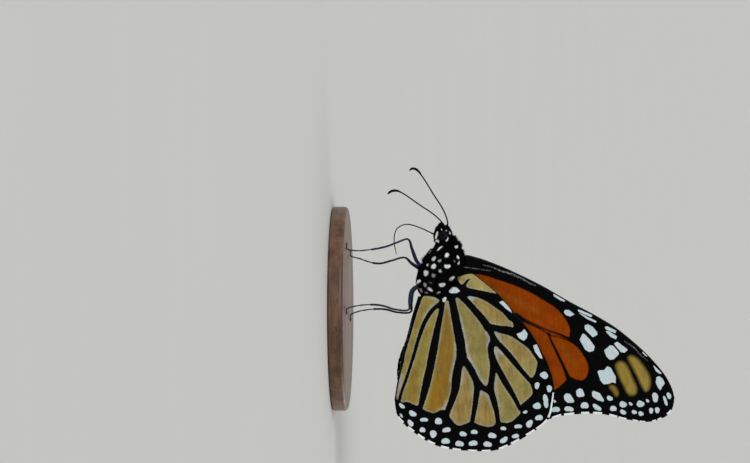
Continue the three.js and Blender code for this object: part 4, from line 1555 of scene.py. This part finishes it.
def wing_ribs(kind, word, side, settings, material):
    """The veins of one wing as tubes that stand up on both faces, and its thick leading edge."""
    wing = WINGS[kind]
    base, full = settings.thickness / MM / 2, settings.rib_radius / MM
    lines, radii = [], []
    for rib in [[p[:2] for p in vein] for vein in wing["veins"].values()] + wing["ribs"]:
        flat = evenly(curve_through(rib, 8), RIB_SPACING)
        lines.append(in_place(flat, side, wing_distance(wing, flat)))
        along = np.linspace(0, 1, len(flat))
        ending = np.minimum(1, (1 - along) * RIB_END + 0.2)
        radii.append(base + (full - base) * (1 - RIB_TAPER * along) * ending)
    rim, out = wing_rim(wing, settings)
    count, inset = wing["front"]
    nearest = nearest_on(rim, evenly(curve_through(wing["outline"][:count], 8), RIB_SPACING))
    flat = rim[nearest] - out[nearest] * inset
    lines.append(in_place(flat, side, wing_distance(wing, flat)))
    radii.append(inset * FRONT_FULLNESS * (1 - FRONT_TAPER * np.linspace(0, 1, len(flat))))
    made = line_object("rib lines", lines, radius=np.concatenate(radii) * MM)
    values = {"Sides": 8, "Material": material}
    return run_tree(made, tube_tree(), values, f"{kind}_{word}_veins")


# The fringe's two rows stand this far apart to each side, and are rooted this far in.
ROW_GAP = 0.02
FRINGE_ROOT = 0.06
FRINGE_WIDTH = 0.1


def wing_fringe(kind, word, side, settings, scale, material):
    """The fringe of scales round one wing, white where the dashes are."""
    wing = WINGS[kind]
    rim, out = wing_rim(wing, settings)
    row = evenly(np.column_stack([rim, out]), settings.fringe_spacing / MM, closed=True)
    line, which = np.vstack([row, np.roll(row, 1, axis=0)]), np.repeat([1.0, -1.0], len(row))
    fringed = in_fringe(wing, line[:, :2]) > 0.02
    line, which = line[fringed], which[fringed]
    away = unit(line[:, 2:])
    flat = line[:, :2] - FRINGE_ROOT * away
    nought = np.zeros(len(flat))
    dashes = [(x, z, length, DASH_DEPTH, turn) for x, z, length, turn in wing["dashes"]]
    made = line_object(
        "fringe line",
        [in_place(flat, side, wing_distance(wing, flat) + ROW_GAP * which)],
        lie=in_place(away, side, nought),
        facing=in_place(np.zeros_like(flat), side, which),
        pale=smooth_step(-spots_distance(flat + 0.2 * away, dashes), -0.06, 0.06),
        lift=0.03,
        stray=0.12,
        reach=0.3 + 0.7 * in_fringe(wing, flat),
        OFBake=np.column_stack([wing_map(flat, 0.0), nought]),
    )
    values = {
        "Tuft": scale,
        "Length": settings.fringe_length,
        "Width": FRINGE_WIDTH * MM,
        "Seed": 3,
        "Material": material,
    }
    return run_tree(made, fringe_tree(), values, f"{kind}_{word}_fringe")


VEIN_DARK = (0.002, 0.002, 0.003)
VEIN_LIGHT = (0.005, 0.005, 0.007)
# How pale the scales beside every vein of the hindwing are.
HINDWING_BLOOM = 0.35


class BUTTERFLY_OT_wings(bpy.types.Operator):
    """Makes the membranes, veins and fringes of the four wings"""

    bl_idname = "butterfly.wings"
    bl_label = "Wings"

    def execute(self, context):
        look = context.scene.butterfly_wings

        def scaled(name, ground, golden, patch, bloom=0.0):
            return wing_material(name, look, ground, golden, patch, bloom)

        orange, bright = look.orange, look.bright_orange
        under = {
            "forewing": scaled("forewing under side", orange, orange, look.ochre),
            "hindwing": scaled(
                "hindwing under side", look.tan, look.golden, look.yellow, HINDWING_BLOOM
            ),
        }
        upper = scaled("wing upper side", bright, bright, bright)
        rib = horn_material("vein", VEIN_DARK, VEIN_LIGHT, 0.5, 0.15)
        edging = spotted_material("fringe scales", look.black, look.fringe_white, 0.85, 0.05)
        scale = make_scale("fringe scale shape")
        for word, side in SIDES:
            for kind in WINGS:
                membrane = wing_membrane(kind, word, side, look, [under[kind], upper])
                ride(membrane, kind, f"{kind}_{word}")
                ride(wing_ribs(kind, word, side, look, rib), kind)
                ride(wing_fringe(kind, word, side, look, scale, edging), kind)
        bpy.data.objects.remove(scale)
        return {"FINISHED"}


# ---- Body ------------------------------------------------

# Where the head's zone ends and the abdomen's begins, and how wide their blends are.
HEAD_END = -12.45
ABDOMEN_START = -2.2
ZONE_BLEND = 0.1
# Where the abdomen's rings end at this height, how far their joints lean with the height, and how
# wide and deep the grooves between them are. The thorax has no grooves.
SEGMENT_ENDS = [0.2, 2.4, 4.6, 6.8, 8.9, 10.8, 12.5, 13.7]
SEGMENT_HEIGHT = 15.0
SEGMENT_LEAN = 0.3
GROOVES_START = -1.2
GROOVE_WIDTH = 0.16
GROOVE_DEPTH = 0.09
PALP_RADIUS = 0.42
BODY_SPOT_SHRINKAGE = 0.05
# How far behind its root a hair shows its colour.
SPOT_LEAD = 0.15
# Directions of the coat: back along the body, up over the head and out along the palps.
COAT_BACK = np.array([1.0, 0.0, -0.25])
HEAD_LIE = np.array([0.35, 0.0, 0.9])
PALP_LIE = np.array([-1.0, 0.0, 0.5])
PALP_TOP = 20.95
PALP_BACK = -13.6
CROWN_FOOT = 22.7
FUZZ_END = -7.5


def body_shells(settings):
    """The closed surfaces that are fused into one skin."""
    depth = settings.coat_depth / MM
    shells = [
        body_length(HEAD_SECTIONS, depth),
        body_length(THORAX_SECTIONS, depth),
        body_length(ABDOMEN_SECTIONS, settings.abdomen_coat_depth / MM),
        body_length(NECK_SECTIONS, 0.0),
        body_length(WAIST_SECTIONS, 0.0),
    ]
    for _, side in SIDES:
        for x, out, z, *radii in COLLAR + FACE + COXAE + SHOULDERS:
            shells.append(ellipsoid((x, side * out, z), np.array(radii)))
        line = limb_path(PALP, side, 6)
        place = np.linspace(0, 1, len(line))
        fullness = np.interp(place, [0, 0.2, 0.55, 0.85, 1], [0.85, 1.0, 0.95, 0.55, 0.3])
        shells.append(round_limb(line, PALP_RADIUS * fullness))
    return shells


def zone_masks(points):
    """How far each point belongs to the head, thorax and abdomen, from 0 to 1."""
    x = points[:, 0]
    head = np.clip((HEAD_END - x) / ZONE_BLEND, 0, 1)
    abdomen = np.clip((x - ABDOMEN_START) / ZONE_BLEND, 0, 1)
    return head, 1 - head - abdomen, abdomen


def body_spots(points, surface):
    """Distance from the nearest white spot on either side, along the skin, and how white it is."""
    best = np.full(len(points), FAR)
    paleness = np.ones(len(points))
    for _, side in SIDES:
        for x, z, length, width, turn, pale in BODY_SPOTS:
            start = Vector((x, side * 20.0, z)) * MM
            place, normal, _, _ = surface.ray_cast(start, Vector((0, -side, 0)))
            if place is None:
                continue
            place, normal = np.array(place) / MM, np.array(normal)
            turn = math.radians(turn)
            seen = np.array([math.sin(turn), 0.0, math.cos(turn)])
            along = unit(seen - normal * (seen @ normal))
            away = points - place
            here = spot_distance(away @ along, away @ np.cross(normal, along), length, width, turn)
            # Skin on another side of the body lies far above or below the spot's plane.
            here += 0.5 * np.maximum(np.abs(away @ normal) - 0.5, 0)
            paleness = np.where(here < best, pale, paleness)
            best = np.minimum(best, here)
    return best + BODY_SPOT_SHRINKAGE, paleness


def coat_lie(points, normals, head, palp):
    """Which way the hair lies along the skin."""
    lie = COAT_BACK + 0.7 * head[:, None] * (HEAD_LIE - COAT_BACK)
    lie[palp] = PALP_LIE
    return unit(lie - normals * (lie * normals).sum(1)[:, None])


def coat_fields(skin):
    """Writes which way, how long and how thick the coat lies at each point of the skin."""
    points, normals = mesh_points(skin), vertex_normals(skin)
    surface = BVHTree.FromPolygons(
        [tuple(p) for p in points * MM], [tuple(p.vertices) for p in skin.data.polygons]
    )
    head, thorax, abdomen = zone_masks(points)
    palp = (head > 0.5) & (points[:, 2] < PALP_TOP) & (points[:, 0] < PALP_BACK)
    lie = coat_lie(points, normals, head, palp)
    white, paleness = body_spots(points + SPOT_LEAD * lie, surface)
    eye = np.full(len(points), FAR)
    for _, side in SIDES:
        centre = np.array(EYE_CENTRE) * (1, side, 1)
        eye = np.minimum(eye, np.linalg.norm((points - centre) / EYE_RADII, axis=1))
    # The masks that follow go from 0 to 1. Fuzz stands off the outline of the head and thorax.
    open_skin = np.clip((eye - 1.02) / 0.05, 0, 1)
    spot = np.clip(-white / 0.05, 0, 1)
    outline = np.clip(1 - np.abs(normals[:, 1]) * 1.6, 0, 1)
    fuzz = outline * (1 - abdomen) * np.clip((FUZZ_END - points[:, 0]) / 2, 0, 1)
    crown = head * np.clip((points[:, 2] - CROWN_FOOT) / 0.6, 0, 1) * open_skin
    beside_spot = np.clip(1 - white / 0.5, 0, 1)
    raised = (0.5 * head + 0.38 * thorax + 0.12 * abdomen) * (1 - 0.7 * spot)
    ruffled = (0.22 * head + 0.2 * thorax + 0.08 * abdomen) * (1 - 0.6 * spot)
    reach = (1 - 0.55 * beside_spot) * (0.8 * head + thorax + abdomen) * np.where(palp, 0.8, 1.0)
    store(skin, {
        "pale": paleness * smooth_step(-white, -0.05, 0.05),
        "lie": lie,
        "lift": raised + 0.45 * fuzz + 0.3 * crown,
        "stray": ruffled + 0.12 * fuzz,
        "reach": reach * (1 + 0.9 * fuzz + 0.7 * crown * (1 - beside_spot)),
        "head coat": head * open_skin,
        "thorax coat": thorax,
        "abdomen coat": abdomen,
    })


def body_skin(settings, material):
    """One skin for the head, palps, thorax and abdomen, with the abdomen's rings."""
    rough = make_object("body shells", *join_shells(body_shells(settings)))
    face_outwards(rough)
    fuse = rough.modifiers.new("Fuse", "REMESH")
    fuse.mode = "VOXEL"
    fuse.voxel_size = settings.voxel
    fuse.use_smooth_shade = True
    soften = rough.modifiers.new("Soften", "SMOOTH")
    soften.factor = 0.5
    soften.iterations = 6
    bpy.context.view_layer.update()
    skin = applied(rough, "body_skin", [material])
    points = mesh_points(skin)
    groove = np.zeros(len(points))
    for end in SEGMENT_ENDS:
        from_end = points[:, 0] + SEGMENT_LEAN * (points[:, 2] - SEGMENT_HEIGHT) - end
        groove += np.exp(-((from_end / GROOVE_WIDTH) ** 2)) * (points[:, 0] > GROOVES_START)
    depth = GROOVE_DEPTH * np.minimum(groove, 1)
    move_points(skin, points - vertex_normals(skin) * depth[:, None])
    unwrap(skin)
    coat_fields(skin)
    return skin


def grown(base, name, tuft, share, density, length, width, seed, material):
    """A coat of tufts on a copy of a surface. The density counts tufts on a square millimetre."""
    values = {
        "Tuft": tuft,
        "Density": density / MM**2,
        "Share": share,
        "Length": length * MM,
        "Width": width * MM,
        "Seed": seed,
        "Material": material,
    }
    return run_tree(copy_of(base), coat_tree(), values, name)


# The coats: share of the density, and the length and width of a tuft.
COATS = {"head": (1.6, 0.42, 0.16), "thorax": (1.0, 0.55, 0.2), "abdomen": (0.6, 0.34, 0.2)}


class BUTTERFLY_OT_body(bpy.types.Operator):
    """Makes the skin of the head, thorax and abdomen and the coat of hair and scales on it"""

    bl_idname = "butterfly.body"
    bl_label = "Body"

    def execute(self, context):
        settings = context.scene.butterfly_body
        hide = spotted_material("body skin", settings.black, settings.white, 0.85, 0.04)
        hair = spotted_material("body hair", settings.black, settings.white, 0.8, 0.06)
        skin = body_skin(settings, hide)
        tuft, flake = make_tuft("hair tuft"), make_scale("body scale shape")
        for index, (part, (share, length, width)) in enumerate(COATS.items()):
            shape = flake if part == "abdomen" else tuft
            seed = settings.seed + index
            thick = settings.density * share
            coat = grown(
                skin, f"{part}_coat", shape, f"{part} coat", thick, length, width, seed, hair
            )
            ride(coat, "body_coat")
        ride(skin, "body_coat", "head", "thorax", "abdomen", "palp_left", "palp_right")
        for shape in (tuft, flake):
            bpy.data.objects.remove(shape)
        return {"FINISHED"}


FACET_FINENESS = 5
FACET_RISE = 0.018


class BUTTERFLY_OT_eyes(bpy.types.Operator):
    """Makes the two faceted eyes"""

    bl_idname = "butterfly.eyes"
    bl_label = "Eyes"

    def execute(self, context):
        material = eye_material("faceted eye")
        for word, side in SIDES:
            centre = Vector((EYE_CENTRE[0], side * EYE_CENTRE[1], EYE_CENTRE[2]))
            base = make_object("eye base", [tuple(centre)], [])
            values = {
                "Fineness": FACET_FINENESS,
                "Rise": FACET_RISE,
                "Radii": Vector(EYE_RADII) * MM,
                "Centre": centre * MM,
                "Material": material,
            }
            ride(run_tree(base, eye_tree(), values, f"faceted_eye_{word}"), "eye", f"eye_{word}")
        return {"FINISHED"}


# ---- Feelers, tongue and legs ----------------------------

# Radii along a limb: for each setting, places along the limb and the share of that setting. The
# places go from 0 to 1, and a walking leg's count its points.
ANTENNA_PROFILE = [
    ("antenna_radius", [(0, 1.4), (0.04, 1.15), (0.1, 1.0), (0.8, 1.0)]),
    ("club_radius", [(0.84, 0.8), (0.9, 1.0), (0.97, 0.85), (1, 0.3)]),
]
TONGUE_PROFILE = [("proboscis_radius", [(0, 1.3), (0.1, 1.0), (0.9, 0.8), (1, 0.4)])]
FORELEG_PROFILE = [("foreleg_radius", [(0, 1.0), (0.3, 1.1), (0.5, 0.85), (0.95, 0.75), (1, 0.3)])]
LEG_PROFILE = [
    ("femur_radius", [
        (0, 0.75), (0.25, 0.8), (0.3, 0.6), (0.55, 1.0), (1.6, 1.0), (2.7, 0.62), (2.92, 0.6),
        (3, 0.45),
    ]),
    ("tibia_radius", [(3.12, 1.0), (4, 1.0), (5.7, 1.05), (5.95, 1.1)]),
    ("tarsus_radius", [(6, 0.7), (9, 0.7)]),
]
# Places along a walking leg, and how many joints its foot has.
KNEE = 3.1
ANKLE = 6
FOOT_END = 9
FOOT_JOINTS = 5
# Lengths of the rings of an antenna and of the tongue, and how many points a ring has.
ANTENNA_RING = 0.36
TONGUE_RING = 0.2
RING_STEPS = 4
# Where the foreleg's pale bend is, from 0 to 1.
FORELEG_BEND = 0.32
FEELER_HORN = {"dark": (0.001, 0.001, 0.002), "light": (0.004, 0.004, 0.005)}
# The legs' light colour is blue painted sheen, strewn in clouds over the dark horn.
LEG_HORN_AND_PAINTED_SHEEN = {"dark": (0.001, 0.002, 0.005), "light": (0.005, 0.016, 0.055)}


def profile_radii(profile, settings, place):
    """Radii at places along a limb."""
    stops = [
        (at, share * getattr(settings, name) / MM) for name, part in profile for at, share in part
    ]
    return np.interp(place, *zip(*stops))


def ringed_tube(name, points, side, profile, settings, ring_length, material):
    """A tube made of many short rings, each a little thicker at its far end."""
    line = evenly(limb_path(points, side, 20), ring_length / RING_STEPS)
    within_ring = (np.arange(len(line)) % RING_STEPS) / (RING_STEPS - 1)
    radii = profile_radii(profile, settings, np.linspace(0, 1, len(line)))
    radii *= 0.9 + 0.14 * within_ring
    made = line_object("ringed line", [line], radius=radii * MM)
    return run_tree(made, tube_tree(), {"Sides": 12, "Material": material}, name)


class BUTTERFLY_OT_feelers(bpy.types.Operator):
    """Makes the clubbed antennae and the tongue"""

    bl_idname = "butterfly.feelers"
    bl_label = "Antennae and tongue"

    def execute(self, context):
        settings = context.scene.butterfly_limbs
        horn = horn_material("feeler horn", **FEELER_HORN, roughness=0.55, specular=0.08)
        for (word, side), points in zip(SIDES, (LEFT_ANTENNA, RIGHT_ANTENNA)):
            name = f"ringed_antenna_{word}"
            made = ringed_tube(name, points, side, ANTENNA_PROFILE, settings, ANTENNA_RING, horn)
            ride(made, "feeler", f"antenna_{word}")
        made = ringed_tube("tongue", PROBOSCIS, 1, TONGUE_PROFILE, settings, TONGUE_RING, horn)
        ride(made, "feeler", "proboscis")
        return {"FINISHED"}


def leg_radii(settings, place):
    """Radius along a leg: thick femur, thin tibia and a foot of short swelling joints."""
    radii = profile_radii(LEG_PROFILE, settings, place)
    joint = np.clip((place - ANKLE) / (FOOT_END - ANKLE), 0, 1) * FOOT_JOINTS
    swell = (joint % 1) ** 0.6
    swell[joint >= FOOT_JOINTS - 0.02] = 0.4
    return np.where(place > ANKLE, settings.tarsus_radius / MM * (0.68 + 0.36 * swell), radii)


def hindleg_points(side):
    """The left hind leg's points, moved back towards the foot for the right leg."""
    shift = RIGHT_HINDLEG_SHIFT if side > 0 else 0
    last = len(LEFT_HINDLEG) - 1
    return [(x + shift * i / last, out, z) for i, (x, out, z) in enumerate(LEFT_HINDLEG)]


def claw(tip, heading, turn):
    """One of the two small hooks at the end of a foot, to the side that turn says."""
    heading = unit(heading)
    side = turn * unit(np.array([-heading[1], heading[0], 0.0]))
    # How far ahead, to the side and down each point of the hook is.
    hook = [(-0.05, 0.04, 0.0), (0.12, 0.12, -0.03), (0.24, 0.16, 0.05), (0.26, 0.16, 0.12)]
    points = [tip + ahead * heading + out * side - (0, 0, down) for ahead, out, down in hook]
    line = curve_through(points, 4)
    return round_limb(line, np.linspace(0.055, 0.012, len(line)), 8)


def limb_mesh(name, line, shells):
    """A limb from closed surfaces, with each vertex's nearest point of its middle line."""
    made = make_object(name, *join_shells(shells))
    face_outwards(made)
    nearest = nearest_on(line, mesh_points(made))
    store(made, {"lie": unit(np.gradient(line, axis=0)[nearest])})
    unwrap(made)
    return made, nearest


def leg_mesh(name, points, side, settings):
    """A walking leg with its claws, and the fields that its spines follow."""
    line = limb_path(points, side, 14)
    place = np.linspace(0, len(points) - 1, len(line))
    claws = [claw(line[-1], line[-1] - line[-4], turn) for turn in (-1, 1)]
    shells = [round_limb(line, leg_radii(settings, place)), *claws]
    made, nearest = limb_mesh(name, line, shells)
    along = place[nearest]
    shin = np.clip((along - KNEE) * 4, 0, 1)
    store(made, {
        "lift": 0.35 + 0.25 * shin,
        "stray": 0.12,
        "reach": 0.45 + 0.55 * shin * np.clip((FOOT_END + 0.2 - along) / 2, 0.45, 1),
        "spines": np.where(along > FOOT_END - 0.1, 0.0, 0.5 + 0.5 * shin),
    })
    return made


def foreleg_mesh(name, side, settings):
    """One of the small brush-like forelegs, folded against the thorax, and its hair's fields."""
    line = limb_path(FORELEG, side, 10)
    radii = profile_radii(FORELEG_PROFILE, settings, np.linspace(0, 1, len(line)))
    made, nearest = limb_mesh(name, line, [round_limb(line, radii)])
    near_bend = np.abs(nearest / len(line) - FORELEG_BEND) < 0.05
    pale = np.where(near_bend, 0.12, 0.0)
    store(made, {"pale": pale, "lift": 0.4, "stray": 0.2, "reach": 0.7, "hair": 1.0})
    return made


class BUTTERFLY_OT_legs(bpy.types.Operator):
    """Makes the four walking legs with spines and claws, and the two small forelegs"""

    bl_idname = "butterfly.legs"
    bl_label = "Legs"

    def execute(self, context):
        settings = context.scene.butterfly_limbs
        body = context.scene.butterfly_body
        horn = horn_material("leg horn", **LEG_HORN_AND_PAINTED_SHEEN, roughness=0.42, specular=0.22, coat=0.03)
        fluff = spotted_material("foreleg hair", body.black, body.white, 0.85, 0.05)
        spine = make_spine("leg spine")
        length = settings.spine_length / MM
        for (word, side), midleg in zip(SIDES, (LEFT_MIDLEG, RIGHT_MIDLEG)):
            for kind, points in (("midleg", midleg), ("hindleg", hindleg_points(side))):
                leg = leg_mesh(f"jointed_{kind}_{word}", points, side, settings)
                leg.data.materials.append(horn)
                spines = grown(leg, "spines", spine, "spines", 9, length, 0.045, 5, horn)
                ride(joined(leg, spines), "leg", f"{kind}_{word}")
            foreleg = foreleg_mesh(f"hairy_foreleg_{word}", side, settings)
            foreleg.data.materials.append(fluff)
            hairs = grown(foreleg, "foreleg hairs", spine, "hair", 120, 0.26, 0.05, 11, fluff)
            ride(joined(foreleg, hairs), "body_coat", f"foreleg_{word}")
        bpy.data.objects.remove(spine)
        return {"FINISHED"}


# ---- Stand and stage -------------------------------------

# The least radius of the stand's surface, at its middle.
STAND_MIDDLE = 0.001
STAND_SIDES = 160
EDGE_STEPS = 9


class BUTTERFLY_OT_stand(bpy.types.Operator):
    """Makes the round wooden stand"""

    bl_idname = "butterfly.stand"
    bl_label = "Stand"

    def execute(self, context):
        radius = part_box("stand_base")[1].x / MM
        bevel = STAND_BEVEL
        profile = [(STAND_MIDDLE, 0.0), (radius - bevel, 0.0)]
        profile += [(radius - bevel / 2, 0.0), (radius, bevel / 2)]
        profile += [
            (radius - bevel + bevel * math.cos(turn), STAND_TOP - bevel + bevel * math.sin(turn))
            for turn in np.linspace(0, math.pi / 2, EDGE_STEPS)
        ]
        profile += [(radius - 2 * bevel, STAND_TOP), (STAND_MIDDLE, STAND_TOP)]
        cosine, sine = circle(STAND_SIDES)
        rings = [
            np.column_stack([r * cosine, r * sine, np.full(STAND_SIDES, z)]) for r, z in profile
        ]
        made = make_object("wooden_stand", *skin_rings(rings))
        face_outwards(made)
        made.data.materials.append(wood_material("stand wood"))
        made.data.set_sharp_from_angle(angle=math.radians(40))
        ride(made, "stand", "stand_base")
        return {"FINISHED"}


# Half the floor's width, and the width of the camera's sensor, in metres and millimetres.
FLOOR_HALF_WIDTH = 60.0
SENSOR = 36.0
# The point that the camera looks at.
VIEW_MIDDLE = (-15.13, 0.0, 8.29)
# How near and how far the camera sees, in metres.
CLIP = (0.01, 200.0)
ROOM_COLOUR = (1.0, 0.995, 0.98)
# Wide soft lights: direction from the butterfly, and strength beside the main one.
SOFT_LIGHTS = [((-0.55, -1.0, 0.8), 1.0), ((0.6, 0.75, 0.85), 0.6)]
SOFT_ANGLE = math.radians(50)


class BUTTERFLY_OT_stage(bpy.types.Operator):
    """Makes the floor, the soft lights and the camera"""

    bl_idname = "butterfly.stage"
    bl_label = "Stage"

    def execute(self, context):
        settings = context.scene.butterfly_stage
        half = FLOOR_HALF_WIDTH / MM
        corners = [(-half, -half, 0), (half, -half, 0), (half, half, 0), (-half, half, 0)]
        floor = make_object("floor", corners, [(0, 1, 2, 3)], smooth=False)
        floor.data.materials.append(floor_material("floor paper", settings.floor))
        self.room(context, settings)
        self.camera(context, settings)
        return {"FINISHED"}

    def room(self, context, settings):
        """The even light of the room and two wide soft lights."""
        world = bpy.data.worlds.new("room")
        world.use_nodes = True
        background = world.node_tree.nodes["Background"]
        background.inputs["Color"].default_value = opaque(ROOM_COLOUR)
        background.inputs["Strength"].default_value = settings.ambient
        context.scene.world = world
        context.scene.view_settings.view_transform = "Standard"
        for index, (direction, share) in enumerate(SOFT_LIGHTS):
            light = bpy.data.lights.new(f"soft light {index}", "SUN")
            light.angle = SOFT_ANGLE
            light.energy = settings.key_strength * share
            lamp = placed(light.name, light)
            lamp.rotation_euler = Vector(direction).to_track_quat("Z", "Y").to_euler()

    def camera(self, context, settings):
        """A long lens from the left side, turned so that the head is at the top."""
        data = bpy.data.cameras.new("camera")
        data.sensor_width = SENSOR
        data.lens = SENSOR * settings.distance / settings.frame_width
        data.clip_start, data.clip_end = CLIP
        made = placed("camera", data)
        s, c = math.sin(settings.elevation), math.cos(settings.elevation)
        right, up, back = Vector((0, s, c)), Vector((-1, 0, 0)), Vector((0, -c, s))
        turned = Matrix((right, up, back)).transposed()
        place = Vector(VIEW_MIDDLE) * MM + back * settings.distance
        made.matrix_world = Matrix.Translation(place) @ turned.to_4x4()
        context.scene.camera = made


# ---- Panel and run ---------------------------------------

OPERATORS = (
    BUTTERFLY_OT_stand,
    BUTTERFLY_OT_wings,
    BUTTERFLY_OT_body,
    BUTTERFLY_OT_eyes,
    BUTTERFLY_OT_feelers,
    BUTTERFLY_OT_legs,
    BUTTERFLY_OT_stage,
)
SETTINGS = {
    "butterfly_wings": WingSettings,
    "butterfly_body": BodySettings,
    "butterfly_limbs": LimbSettings,
    "butterfly_stage": StageSettings,
}


class BUTTERFLY_PT_panel(bpy.types.Panel):
    """Lists the butterfly's pieces"""

    bl_idname = "BUTTERFLY_PT_panel"
    bl_label = "Butterfly"
    bl_space_type = "VIEW_3D"
    bl_region_type = "UI"
    bl_category = "Butterfly"

    def draw(self, context):
        for operator in OPERATORS:
            self.layout.operator(operator.bl_idname)


CLASSES = (*SETTINGS.values(), *OPERATORS, BUTTERFLY_PT_panel)


def register():
    for kind in CLASSES:
        bpy.utils.register_class(kind)
    for name, kind in SETTINGS.items():
        setattr(bpy.types.Scene, name, PointerProperty(type=kind))


def unregister():
    for name in SETTINGS:
        delattr(bpy.types.Scene, name)
    for kind in reversed(CLASSES):
        bpy.utils.unregister_class(kind)


def main():
    register()
    for operator in OPERATORS:
        group, name = operator.bl_idname.split(".")
        getattr(getattr(bpy.ops, group), name)()


if __name__ == "__main__":
    main()
